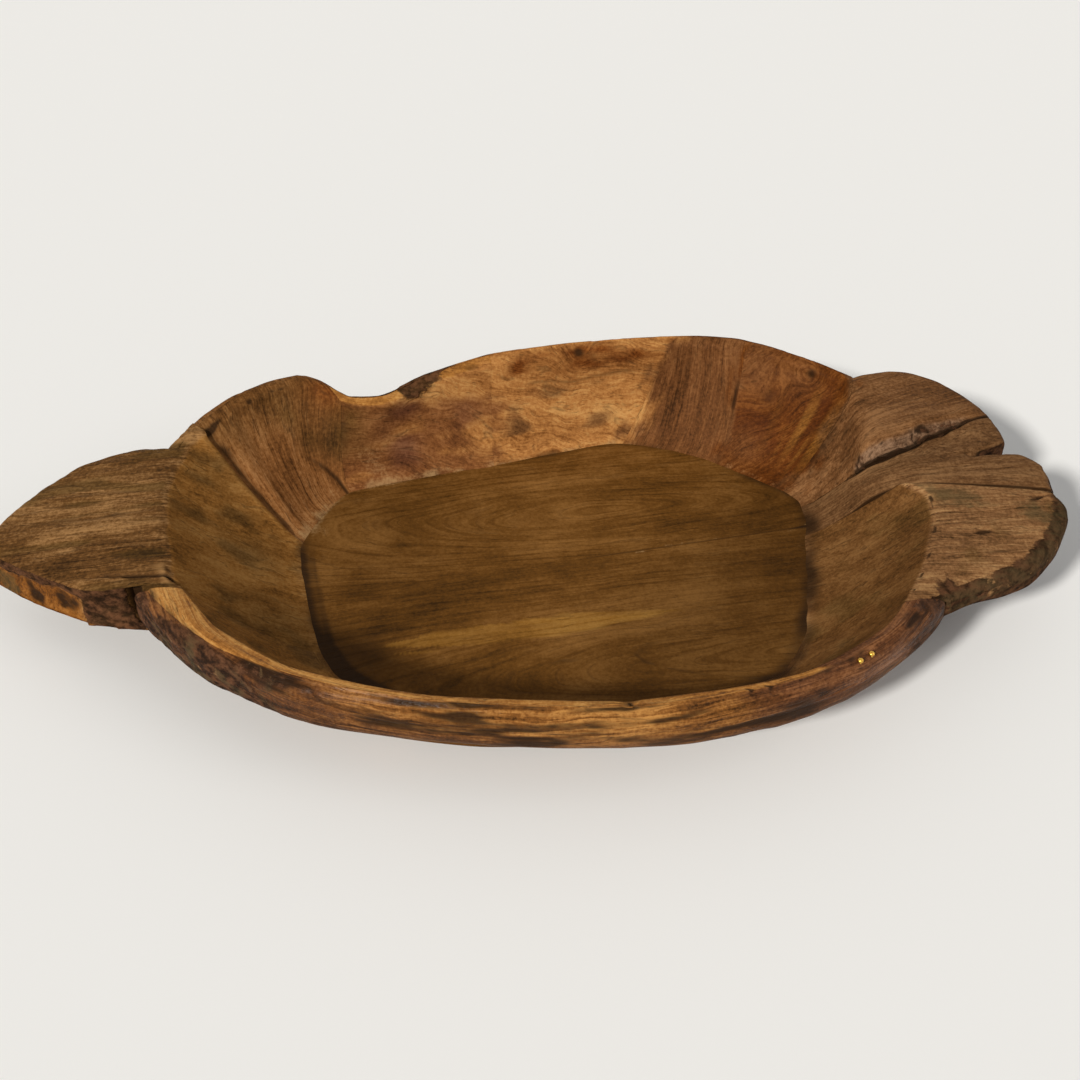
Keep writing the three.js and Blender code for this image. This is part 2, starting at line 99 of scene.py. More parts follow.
# Outer top edges of the handles, from root to root: x, y, z
LEFT_HANDLE_LINE = [
    (-259, 103, 80), (-278, 108, 79), (-294, 106, 78), (-321, 94, 76), (-346, 71, 74), (-365, 42, 72),
    (-376, 12, 71), (-356, -8, 72), (-334, -24, 73), (-302, -43, 74), (-284, -49, 76), (-265, -50, 78),
]
RIGHT_HANDLE_LINE = [
    (262, -110, 80), (281, -101, 79), (308, -88, 78), (334, -74, 78), (358, -51, 79), (371, -31, 80),
    (374, -19, 81), (371, -6, 82), (372, 8, 84), (372, 22, 85), (362, 36, 85), (334, 40, 85),
    (354, 52, 86), (355, 70, 87), (351, 92, 88), (341, 113, 89), (328, 131, 90), (311, 143, 91),
    (294, 146, 92), (276, 143, 93), (262, 139, 94),
]
LINE_STEPS = 24  # on each stretch of a line
CORNER_SOFTNESS = 0.3

# Joints between wall blocks: degrees at the floor, ridge and outer edge, and the gap at the ridge and edge
SEAMS = {
    "right_front": (335, 333, 336.8, 0.0, 0.0),
    "lower_split": (369, 362, 359.2, 2.0, 1.4),
    "upper_split": (377.5, 368.5, 373.3, 1.3, 0.9),
    "right_back": (383.5, 384, 388.2, 0.0, 0.0),
    "back_right": (399, 403, 403, 0.0, 0.0),
    "back_middle_right": (421.5, 415.5, 415, 0.0, 0.0),
    "back_middle_left": (457, 455, 455, 0.0, 0.0),
    "back_left": (498, 492, 491.5, 0.0, 0.0),
    "left_back": (521, 514, 512.5, 0.0, 0.0),
    "left_front": (563, 554, 551.5, 0.6, 3.0),
    "front_middle": (643, 642.5, 642.5, 0.0, 0.0),
}

# Grid spacing of the carved surfaces
COLUMN_STEP = 1.6  # along the rim; the others are points round the section
WALL_STEPS = 46
CORNER_STEPS = 8
FACE_STEPS = 14
RIM_STEPS = 14
HANDLE_STEPS = 76
EDGE_WEIGHT = 0.7  # of the outer edge, against the ridge, in spacing the columns
BEND = 0.12  # walk taken by half of a rounded corner
TURN_RADIUS = 230.0  # turns angles round the bowl into lengths
FINE_STEPS = 900  # for measuring a block's length
FOOT_GUARD = 0.06  # walk beside the feet that carving leaves alone
SWAY_WAVE = 17.0  # length of the waves in a split
CHECK_WAVE = 7.0  # and in the width of a check
CHECK_WOBBLE = 0.4  # share of a check's width that they take
SPLIT_SWAY = (3.5, 14.0, 65)  # of the split handle: amount, reach and seed

# Stations along the walk round a wall's section: inner foot, ridge, outer edge, its lower edge, root of the
# lip and outer foot
FOOT, RIDGE, EDGE, LOW, ROOT, OUTER_FOOT = 0.0, 1.0, 2.0, 3.0, 4.0, 5.0
WALL_TOP = 0.96  # walk where a smooth inner wall ends


# Small helpers for shapes

def smoothstep(value, low, high):
    """0 below low, 1 above high, and 3t^2 - 2t^3 between them."""
    t = np.clip((value - low) / (high - low), 0.0, 1.0)
    return t * t * (3.0 - 2.0 * t)


def bell(value, centre, width):
    """A bell curve: exp of minus the squared distance from centre in widths."""
    return np.exp(-(((value - centre) / width) ** 2))


# Large odd numbers that mix a lattice cell's place and seed, and the largest mixed number
CELL_MIX = np.array([374761393, 668265263, 2246822519], dtype=np.uint32)
SEED_MIX = np.uint32(3266489917)
LAST_MIX = np.uint32(1274126177)
LARGEST_WHOLE = 4294967295.0
OCTAVE_SEED = 17  # added to the seed for each finer octave


def lattice_values(cell, seed):
    """Fixed pseudo-random numbers from 0 to 1, one per lattice cell, by mixing its three whole numbers."""
    whole = cell.astype(np.int64).astype(np.uint32)
    mixed = (whole * CELL_MIX).sum(axis=-1, dtype=np.uint32) + np.uint32(seed) * SEED_MIX
    mixed = (mixed ^ (mixed >> np.uint32(13))) * LAST_MIX
    return (mixed ^ (mixed >> np.uint32(16))).astype(np.float64) / LARGEST_WHOLE


def value_noise(points, seed=0):
    """Smooth noise from -1 to 1: lattice values blended by 3t^2 - 2t^3 along each axis."""
    cell = np.floor(points)
    t = points - cell
    t = t * t * (3.0 - 2.0 * t)
    total = np.zeros(points.shape[:-1])
    for corner in np.ndindex(2, 2, 2):
        offset = np.array(corner)
        weight = np.prod(np.where(offset == 1, t, 1.0 - t), axis=-1)
        total += weight * lattice_values(cell + offset, seed)
    return 2.0 * total - 1.0


def rough_noise(points, octaves=3, seed=0):
    """Noise summed over octaves, each twice as fine and half as strong as the one before. A seed picks one
    of many patterns of a kind."""
    total = np.zeros(points.shape[:-1])
    for octave in range(octaves):
        total += value_noise(points * 2.0**octave, seed + OCTAVE_SEED * octave) / 2.0**octave
    return total / (2.0 - 2.0 ** (1 - octaves))


def plane(a, b):
    """Points in a plane with two values as their coordinates, for noise over a surface."""
    a, b = np.broadcast_arrays(a, b)
    return np.stack([a, b, 0.0 * a], axis=-1)


def stretched(points, x, y, z):
    """Points measured in cells of the given lengths along the three axes."""
    return points / np.array([x, y, z])


def patches(points, cell, octaves, seed, low, high):
    """Patches from 0 to 1 where rough noise rises from low to high, in cells of one length or three."""
    return smoothstep(rough_noise(points / np.array(cell), octaves, seed), low, high)


# Lines round the bowl

def line_samples(points, closed):
    """Dense points of a line: on each stretch the cubic whose end slopes are CORNER_SOFTNESS times the chord
    between the neighbours on either side."""
    p = np.array([tuple(point) + (0.0,) * (3 - len(point)) for point in points], dtype=float)
    if closed:
        p = np.vstack([p[-1:], p, p[:2]])
    else:
        p = np.vstack([2 * p[:1] - p[1:2], p, 2 * p[-1:] - p[-2:-1]])
    a, b = p[1:-2, None], p[2:-1, None]
    slope_a = CORNER_SOFTNESS * (b - p[:-3, None])
    slope_b = CORNER_SOFTNESS * (p[3:, None] - a)
    t = np.linspace(0.0, 1.0, LINE_STEPS, endpoint=False)[None, :, None]
    curve = (
        a * (2 * t**3 - 3 * t**2 + 1)
        + slope_a * (t**3 - 2 * t**2 + t)
        + b * (3 * t**2 - 2 * t**3)
        + slope_b * (t**3 - t**2)
    )
    curve = curve.reshape(-1, 3)
    return curve if closed else np.vstack([curve, p[-2:-1]])


class PolarLine:
    """A line as radius and height over the angle round the bowl."""

    def __init__(self, points, closed=True):
        samples = line_samples(points, closed)
        angle = np.unwrap(np.arctan2(samples[:, 1], samples[:, 0]))
        if angle[-1] < angle[0]:
            samples, angle = samples[::-1], angle[::-1]
        self.closed = closed
        self.angle = np.maximum.accumulate(angle)
        self.radius_at = np.hypot(samples[:, 0], samples[:, 1])
        self.height_at = samples[:, 2]

    def _look_up(self, angle, values):
        if self.closed:
            return np.interp(angle, self.angle, values, period=2 * math.pi)
        turned = self.angle[0] + np.mod(angle - self.angle[0], 2 * math.pi)
        return np.interp(turned, self.angle, values, right=0.0)

    def radius(self, angle):
        return self._look_up(angle, self.radius_at)

    def height(self, angle):
        return self._look_up(angle, self.height_at)


FLOOR = PolarLine(FLOOR_LINE)
RIDGE_TOP = PolarLine(RIDGE_LINE)
RIM = PolarLine(RIM_LINE)
HANDLES = [
    (PolarLine(LEFT_HANDLE_LINE, closed=False), LEFT_HANDLE_DEPTH),
    (PolarLine(RIGHT_HANDLE_LINE, closed=False), RIGHT_HANDLE_DEPTH),
]


def outer_edge(angle):
    """Radius, height and face depth of the outer edge: the rim's, or a handle's where it reaches further."""
    radius, height = RIM.radius(angle), RIM.height(angle)
    depth = np.full_like(radius, LIP_DEPTH)
    rim_radius = radius.copy()
    for line, handle_depth in HANDLES:
        reach = line.radius(angle)
        out = reach > rim_radius
        share = smoothstep(reach - rim_radius, 0.0, HANDLE_BLEND)
        radius = np.where(out, reach, radius)
        height = np.where(out, height + share * (line.height(angle) - height), height)
        depth = np.where(out, depth + share * (handle_depth - depth), depth)
    return radius, height, depth


def polar(angle, radius, height):
    """Points at an angle, radius and height round the bowl."""
    return np.stack([radius * np.cos(angle), radius * np.sin(angle), height + 0.0 * radius], axis=-1)


def outward(points):
    """Level unit vectors away from the middle of the bowl."""
    flat = points * np.array([1.0, 1.0, 0.0])
    return flat / np.maximum(np.linalg.norm(flat, axis=-1, keepdims=True), 1e-9)


def rounded_loop(corners, rounds, counts):
    """Points along a bent line of corners, and the walk station of each: straight stretches, with each inner
    corner replaced by the parabola that begins and ends its rounding length away from it."""
    pieces, walk = [], []
    last = len(counts) - 1
    lengths = [np.linalg.norm(b - a, axis=1, keepdims=True) for a, b in zip(corners, corners[1:])]
    for i, count in enumerate(counts):
        a, b = corners[i], corners[i + 1]
        before = np.minimum(rounds[i] / lengths[i], LARGEST_ROUND)
        after = np.minimum(rounds[i + 1] / lengths[i], LARGEST_ROUND)
        t = np.linspace(0.0, 1.0, count)[None, :, None]
        t = before[:, None] + t * (1.0 - before - after)[:, None]
        pieces.append(a[:, None] + t * (b - a)[:, None])
        walk.append(i + np.linspace(BEND * (i > 0), 1.0 - BEND * (i < last), count))
        if i < last:
            come = (b + (a - b) * after)[:, None]
            leave = np.minimum(rounds[i + 1] / lengths[i + 1], LARGEST_ROUND)
            leave = (b + (corners[i + 2] - b) * leave)[:, None]
            s = np.linspace(0.0, 1.0, CORNER_STEPS + 2)[1:-1]
            walk.append(i + 1 + BEND * (2.0 * s - 1.0))
            s = s[None, :, None]
            pieces.append((1 - s) ** 2 * come + 2 * s * (1 - s) * b[:, None] + s**2 * leave)
    return np.concatenate(pieces, axis=1), np.concatenate(walk)


class Section:
    """A wall block's surface: a closed loop round its section (walk), carried from one joint to the next
    (share). Base is the smooth surface and points the carved one; turn and around are lengths along the rim
    and round the section, from_start and from_end lengths from the joints; wood holds the tones at each
    point, and masks its finish."""

    def __init__(self, plan):
        first = self._seam_angles(SEAMS[plan["joints"][0]], 1)
        last = self._seam_angles(SEAMS[plan["joints"][1]], -1)
        if last[0] < first[0]:
            last = last + 2 * math.pi
        share = self._even_shares(first, last)
        self.share = share[:, None]
        angles = [first[i] + (last[i] - first[i]) * share for i in range(3)]
        rounds = [plan["ridge"], plan.get("lip", LIP_ROUND), plan.get("under", UNDER_ROUND)]
        rounds = [self.ramp(pair) for pair in (SQUARE, *rounds, ROOT_ROUND, SQUARE)]
        self.points, walk = self._loops(*angles, rounds, plan.get("top", RIM_STEPS))
        self.base = self.points.copy()
        self.walk = walk[None, :]
        self.turn = TURN_RADIUS * angles[2][:, None]
        self.masks = {}
        self.wood = plan["wood"] + np.zeros(self.base.shape[:2] + (3, 3))
        along = np.cumsum(np.linalg.norm(np.diff(self.base, axis=0), axis=2), axis=0)
        self.from_start = np.vstack([0.0 * along[:1], along])
        self.from_end = self.from_start[-1:] - self.from_start
        around = np.cumsum(np.linalg.norm(np.diff(self.base, axis=1), axis=2), axis=1)
        self.around = np.hstack([0.0 * around[:, :1], around])

    @staticmethod
    def _seam_angles(seam, side):
        """Angles of a joint at floor, ridge and edge, each moved by half of its gap."""
        angles = np.radians(np.array(seam[:3], dtype=float))
        radii = np.array([FLOOR.radius(angles[0]), RIDGE_TOP.radius(angles[1]), outer_edge(angles[2:])[0][0]])
        gaps = TIGHT_JOINT + np.array([0.0, seam[3], seam[4]])
        return angles + side * gaps / 2 / radii

    @staticmethod
    def _even_shares(first, last):
        """Shares from 0 to 1 spaced evenly along a mean of the outer edge and the ridge."""
        fine = np.linspace(0.0, 1.0, FINE_STEPS)
        ridge = first[1] + (last[1] - first[1]) * fine
        edge = first[2] + (last[2] - first[2]) * fine
        edge_points = polar(edge, *outer_edge(edge)[:2])
        ridge_points = polar(ridge, RIDGE_TOP.radius(ridge), RIDGE_TOP.height(ridge))
        steps = EDGE_WEIGHT * np.linalg.norm(np.diff(edge_points, axis=0), axis=1)
        steps = steps + (1.0 - EDGE_WEIGHT) * np.linalg.norm(np.diff(ridge_points, axis=0), axis=1)
        length = np.concatenate([[0.0], np.cumsum(steps)])
        columns = round(length[-1] / COLUMN_STEP)
        return np.interp(np.linspace(0.0, length[-1], columns + 1), length, fine)

    @staticmethod
    def _loops(floor, ridge, edge, rounds, top_steps):
        """Section loops through six corners: the wall is hollowed inside and swollen outside by half sine
        waves, the rim is crowned by another, and a cove at the foot runs out by the square of what is left of
        its height, swaying by noise."""
        radius, height, depth = outer_edge(edge)
        base = np.full_like(floor, WALL_BASE)
        foot_out = polar(floor, FLOOR.radius(floor) + WALL_FOOT, base)
        lip = polar(ridge, RIM.radius(ridge) - LIP_UNDERCUT, RIM.height(ridge) - LIP_DEPTH)
        corners = [
            polar(floor, FLOOR.radius(floor), base),
            polar(ridge, RIDGE_TOP.radius(ridge), RIDGE_TOP.height(ridge)),
            polar(edge, radius, height),
            polar(edge, radius - LIP_UNDERCUT, height - depth),
            foot_out + ROOT_SHARE * (lip - foot_out),
            foot_out,
        ]
        counts = [WALL_STEPS, top_steps, FACE_STEPS, top_steps, WALL_STEPS]
        points, walk = rounded_loop(corners, rounds, counts)
        inside = INNER_HOLLOW * np.sin(math.pi * np.clip(walk, FOOT, RIDGE))
        outside = OUTER_BELLY * np.sin(math.pi * np.clip(walk - ROOT, 0.0, 1.0))
        cove = COVE * np.clip(1.0 - walk / COVE_WALK, 0.0, 1.0) ** 2
        sway = COVE_SWAY + COVE_SWAY_RIGHT * smoothstep(points[..., 0], *COVE_SWAY_RANGE)
        cove = cove[None, :] * (1.0 + sway * rough_noise(points / COVE_WAVE, 2, 8))
        points = points + outward(points) * (inside + outside - cove)[..., None]
        points[..., 2] += RIM_CROWN * np.sin(math.pi * np.clip(walk - RIDGE, 0.0, 1.0))[None, :]
        return points, walk

    def normals(self):
        """Unit normals out of the wood: the walk's direction crossed with the share's."""
        along = np.gradient(self.points, axis=0)
        around = np.roll(self.points, -1, axis=1) - np.roll(self.points, 1, axis=1)
        normal = np.cross(around, along)
        return normal / np.maximum(np.linalg.norm(normal, axis=-1, keepdims=True), 1e-12)

    def push(self, distance):
        """Moves the surface along its normals by a distance, kept off the feet that stand on the floor."""
        keep = smoothstep(self.walk, FOOT, FOOT_GUARD)
        keep = keep * (1.0 - smoothstep(self.walk, OUTER_FOOT - FOOT_GUARD, OUTER_FOOT))
        self.points = self.points + self.normals() * (distance * keep)[..., None]

    def lift(self, height):
        """Moves the surface up by a height."""
        self.points[..., 2] += height

    def ramp(self, pair):
        """A value that runs from the block's start to its end."""
        return pair[0] + (pair[1] - pair[0]) * self.share

    def zone(self, low, high, soft=0.08):
        """1 on the part of the section between two walk stations, fading over soft at both ends."""
        rise = smoothstep(self.walk, low - soft, low + soft)
        return rise * (1.0 - smoothstep(self.walk, high - soft, high + soft))

    def stretch(self, low, high, soft=0.05):
        """1 on the part of the block between two shares, fading over soft at both ends."""
        rise = smoothstep(self.share, low - soft, low + soft)
        return rise * (1.0 - smoothstep(self.share, high - soft, high + soft))

    def mark(self, mask, amount):
        """Adds to a finish mask."""
        self.masks[mask] = self.masks.get(mask, 0.0) + amount

    def paint(self, amount, wood):
        """Turns the wood's three tones towards another wood's by an amount from 0 to 1."""
        amount = np.clip(amount + np.zeros(self.base.shape[:2]), 0.0, 1.0)
        self.wood = self.wood + amount[..., None, None] * (wood - self.wood)

    def streaks(self, along, around, seed, octaves=2):
        """Noise on the skin itself, in cells of the given lengths along the rim and round the section."""
        return rough_noise(plane(self.turn / along, self.around / around), octaves, seed)

    def fan_noise(self, lines, rows, seed):
        """Noise drawn out along the section: so many cells over the block's length and a walk station."""
        return value_noise(plane(self.share * lines, self.walk * rows), seed)

    def spot(self, mark):
        """A bell round a mark in the wood: exp of minus the squared distance in sizes."""
        *place, size = MARKS[mark]
        return bell(np.linalg.norm(self.base - np.array(place), axis=-1), 0.0, size)

    def sway(self, gap, amount, reach, seed):
        """Moves the skin near a joint along the rim by noise of radius and height, alike on both sides."""
        radius = np.linalg.norm(self.base[..., :2], axis=-1)
        place = plane(radius / SWAY_WAVE, self.base[..., 2] / SWAY_WAVE)
        move = amount * rough_noise(place, 2, seed) * bell(gap, 0.0, reach) * self.zone(0.6, 3.4, 0.2)
        out = outward(self.base)
        self.points[..., 0] -= move * out[..., 1]
        self.points[..., 1] += move * out[..., 0]

    def cut(self, path, width, depth, low=RIDGE, high=EDGE, stain_and_shade=1.3):
        """An open check: a dark groove along a bent line, seen from above, that closes at both ends."""
        gap, share = path_gap(self.base, path)
        swell = np.sqrt(np.sin(math.pi * np.clip(share, 0.02, 0.98)))
        wobble = 1.0 + CHECK_WOBBLE * value_noise(self.base / CHECK_WAVE, 5)
        groove = bell(gap, 0.0, width * swell * wobble) * swell * self.zone(low, high, 0.05)
        self.push(-depth * groove)
        self.mark("stain_and_shade", stain_and_shade * groove)


def path_gap(points, path):
    """Level distance to a bent line, and the share of the line's length passed at the nearest place."""
    flat = points[..., :2]
    path = np.array(path, dtype=float)
    lengths = np.linalg.norm(np.diff(path, axis=0), axis=1)
    passed = np.concatenate([[0.0], np.cumsum(lengths)])
    best = np.full(flat.shape[:-1], np.inf)
    share = np.zeros_like(best)
    for a, b, begin, length in zip(path, path[1:], passed, lengths):
        t = np.clip(((flat - a) @ (b - a)) / length**2, 0.0, 1.0)
        gap = np.linalg.norm(flat - a - t[..., None] * (b - a), axis=-1)
        share = np.where(gap < best, (begin + t * length) / passed[-1], share)
        best = np.minimum(gap, best)
    return best, share


# Meshes

JOIN_DECIMALS = 3  # points that agree to so many decimals of a millimetre are one
SMOOTH_ANGLE = math.radians(50)


def loop_quads(columns, count):
    """Quads round a grid of closed loops, and a ladder of quads across the first loop and the last."""
    index = np.arange(columns * count).reshape(columns, count)
    here, there = index[:-1], index[1:]
    skin = np.stack([here, np.roll(here, -1, 1), np.roll(there, -1, 1), there], axis=-1).reshape(-1, 4)
    rung = np.arange(count // 2 - 1)
    near, far = index[0], index[-1]
    first = np.stack([near[rung], near[count - 1 - rung], near[count - 2 - rung], near[rung + 1]], axis=-1)
    last = np.stack([far[rung], far[rung + 1], far[count - 2 - rung], far[count - 1 - rung]], axis=-1)
    return np.vstack([skin, first, last])


def closed_solid(name, grid, attributes):
    """A closed object at the origin from a grid of loops in millimetres: points that meet are joined, quads
    that this closes become triangles or go, shading is smooth up to SMOOTH_ANGLE, and each attribute is one
    value per point."""
    points = grid.reshape(-1, 3)
    rounded = np.round(points, JOIN_DECIMALS)
    _, kept, joined = np.unique(rounded, axis=0, return_index=True, return_inverse=True)
    quads = joined.reshape(-1)[loop_quads(*grid.shape[:2])]
    doubled = quads == np.roll(quads, -1, axis=1)
    whole = quads[doubled.sum(axis=1) == 0]
    folded = doubled.sum(axis=1) == 1
    thirds = quads[folded][~doubled[folded]].reshape(-1, 3)
    corners = np.concatenate([whole.ravel(), thirds.ravel()])
    starts = np.concatenate([4 * np.arange(len(whole)), whole.size + 3 * np.arange(len(thirds))])
    mesh = bpy.data.meshes.new(name)
    mesh.vertices.add(len(kept))
    mesh.vertices.foreach_set("co", (points[kept] * MM).astype(np.float32).ravel())
    mesh.loops.add(len(corners))
    mesh.loops.foreach_set("vertex_index", corners.astype(np.int32))
    mesh.polygons.add(len(starts))
    mesh.polygons.foreach_set("loop_start", starts.astype(np.int32))
    mesh.polygons.foreach_set("use_smooth", np.ones(len(starts), dtype=bool))
    mesh.update(calc_edges=True)
    mesh.set_sharp_from_angle(angle=SMOOTH_ANGLE)
    for label, values in attributes.items():
        vector = values.ndim == 3
        layer = mesh.attributes.new(label, "FLOAT_VECTOR" if vector else "FLOAT", "POINT")
        values = values.reshape(len(points), -1)[kept]
        layer.data.foreach_set("vector" if vector else "value", values.astype(np.float32).ravel())
    piece = bpy.data.objects.new(name, mesh)
    bpy.context.scene.collection.objects.link(piece)
    return piece


def dress(piece, node, material):
    """Gives a piece its material, and lets it ride in place of its CAD node."""
    piece.data.materials.append(material)
    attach(piece, "root")
    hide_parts(node)


# Finish masks; the one for stains also holds painted shade, and the worn one a painted highlight on a raised
# edge
MASKS = ("sap", "stain_and_shade", "bark", "moss", "dust", "worn", "calm", "mottle", "polish", "veined")
TONES = ("dark_tone", "middle_tone", "light_tone")


def wooden_piece(node, grid, grain, wood, masks, material):
    """A closed piece that stands for a CAD node, with its grain coordinates, wood tones and finish masks."""
    size = grid.shape[:2]
    attributes = {mask: np.clip(masks.get(mask, 0.0) + np.zeros(size), 0.0, 1.0) for mask in MASKS}
    attributes["grain"] = np.stack([part + np.zeros(size) for part in grain], axis=-1)
    for order, tone in enumerate(TONES):
        attributes[tone] = wood[..., order, :] + np.zeros(size + (3,))
    dress(closed_solid(f"{node}_carved", grid, attributes), node, material)


# Materials

def srgb(red, green, blue):
    """A colour of 0 to 255 a channel, as linear light."""
    channel = np.array([red, green, blue]) / 255.0
    linear = np.where(channel <= 0.04045, channel / 12.92, ((channel + 0.055) / 1.055) ** 2.4)
    return (*linear.tolist(), 1.0)


def wood_tones(dark, middle, light):
    """A wood's dark, middle and light tones, as rows of linear light."""
    return np.array([srgb(*tone)[:3] for tone in (dark, middle, light)])


class Graph:
    """A short way to write a node tree: inputs are numbers, colours or other nodes' outputs."""

    def __init__(self, name):
        self.material = bpy.data.materials.new(name)
        self.material.use_nodes = True
        self.tree = self.material.node_tree
        self.shader = self.tree.nodes["Principled BSDF"]

    def feed(self, socket, value):
        if isinstance(value, bpy.types.NodeSocket):
            self.tree.links.new(value, socket)
        else:
            socket.default_value = value

    def add(self, kind, inputs=None, **settings):
        node = self.tree.nodes.new(kind)
        for key, value in settings.items():
            setattr(node, key, value)
        for key, value in (inputs or {}).items():
            self.feed(node.inputs[key], value)
        return node

    def math(self, operation, *values):
        return self.add("ShaderNodeMath", dict(enumerate(values)), operation=operation).outputs[0]

    def times(self, a, b):
        return self.math("MULTIPLY", a, b)

    def total(self, first, *others):
        for other in others:
            first = self.math("ADD", first, other)
        return first

    def swing(self, value, weight):
        """A value from 0 to 1 turned into a swing of the weight about zero."""
        return self.math("MULTIPLY_ADD", value, weight, -0.5 * weight)

    def attribute(self, name, output="Fac"):
        return self.add("ShaderNodeAttribute", attribute_name=name).outputs[output]

    def millimetres(self):
        """Object coordinates in millimetres."""
        return self.scaled(self.add("ShaderNodeTexCoord").outputs["Object"], 1000.0)

    def scaled(self, vector, x, y=None, z=None):
        scale = (x, x if y is None else y, x if z is None else z)
        return self.add("ShaderNodeVectorMath", {0: vector, 1: scale}, operation="MULTIPLY").outputs[0]

    def noise(self, vector, detail=3.0, roughness=0.55):
        inputs = {"Vector": vector, "Scale": 1.0, "Detail": detail, "Roughness": roughness}
        return self.add("ShaderNodeTexNoise", inputs).outputs["Fac"]

    def pattern(self, vector, name):
        """One of the wood's noise patterns."""
        *scale, detail, roughness = PATTERNS[name]
        return self.noise(self.scaled(vector, *scale), detail, roughness)

    def span(self, value, low, high, to_low=0.0, to_high=1.0, kind="SMOOTHSTEP"):
        inputs = {"Value": value, "From Min": low, "From Max": high, "To Min": to_low, "To Max": to_high}
        return self.add("ShaderNodeMapRange", inputs, interpolation_type=kind).outputs["Result"]

    def mix(self, share, a, b):
        node = self.add("ShaderNodeMix", data_type="RGBA")
        for socket, value in zip((node.inputs[0], node.inputs[6], node.inputs[7]), (share, a, b)):
            self.feed(socket, value)
        return node.outputs[2]

    def shade(self, tone, dark, middle, light):
        """The colour of a tone from 0 to 1 between a dark, a middle and a light one."""
        lower = self.mix(self.span(tone, 0.1, 0.5, kind="LINEAR"), dark, middle)
        return self.mix(self.span(tone, 0.5, 0.9, kind="LINEAR"), lower, light)


BARK_DARK = srgb(30, 19, 12)
BARK_LIGHT = srgb(96, 63, 42)
MOSS = srgb(70, 62, 40)
DUST = srgb(164, 130, 88)
SAP = (srgb(108, 66, 28), srgb(162, 108, 51), srgb(197, 145, 80))
# Dark colour of stains, pores and veins, which also paints shade
DARK_STAIN_AND_SHADE = srgb(36, 23, 12)
TARNISH = srgb(150, 104, 38)
BRIGHT_BRASS = srgb(232, 186, 84)
DOWEL_DARK = srgb(176, 138, 90)
DOWEL_LIGHT = srgb(214, 180, 132)
RELIEF_STRENGTH = 0.6  # of the wood's fine relief
RELIEF_DEPTH = 0.6
# Noise patterns: cells per millimetre across, along and into the grain, octaves and roughness
PATTERNS = {
    "drift": (0.022, 0.007, 0.016, 2.0, 0.55),
    "ripple": (0.11, 0.03, 0.07, 2.0, 0.55),
    "fading": (0.035, 0.009, 0.02, 2.0, 0.55),
    "band": (0.05, 0.007, 0.03, 2.0, 0.55),
    "streak": (0.2, 0.014, 0.05, 4.0, 0.6),
    "strand": (0.55, 0.03, 0.15, 3.0, 0.6),
    "thread": (1.2, 0.045, 0.3, 3.0, 0.6),
    "pores": (1.4, 0.085, 0.5, 1.0, 0.55),
    "smudge": (0.085, 0.03, 0.05, 4.0, 0.62),
    "vein": (0.07, 0.011, 0.03, 3.0, 0.55),
    "blotch": (0.013, 0.013, 0.013, 3.0, 0.55),
    "grit": (0.4, 0.4, 0.4, 4.0, 0.7),
    "flake": (0.13, 0.13, 0.2, 4.0, 0.6),
}
# Finishes: width and warp of the growth rings, weight of the fine figure, gloss and roughness
WALL_FINISH = dict(ring_width=7.0, warp=5.0, fine=2.0, specular=0.025, roughness=0.6)
FRONT_FINISH = dict(ring_width=7.0, warp=5.0, fine=2.0, specular=0.05, roughness=0.46)
FLOOR_FINISH = dict(ring_width=6.0, warp=3.0, fine=1.2, specular=0.045, roughness=0.55)


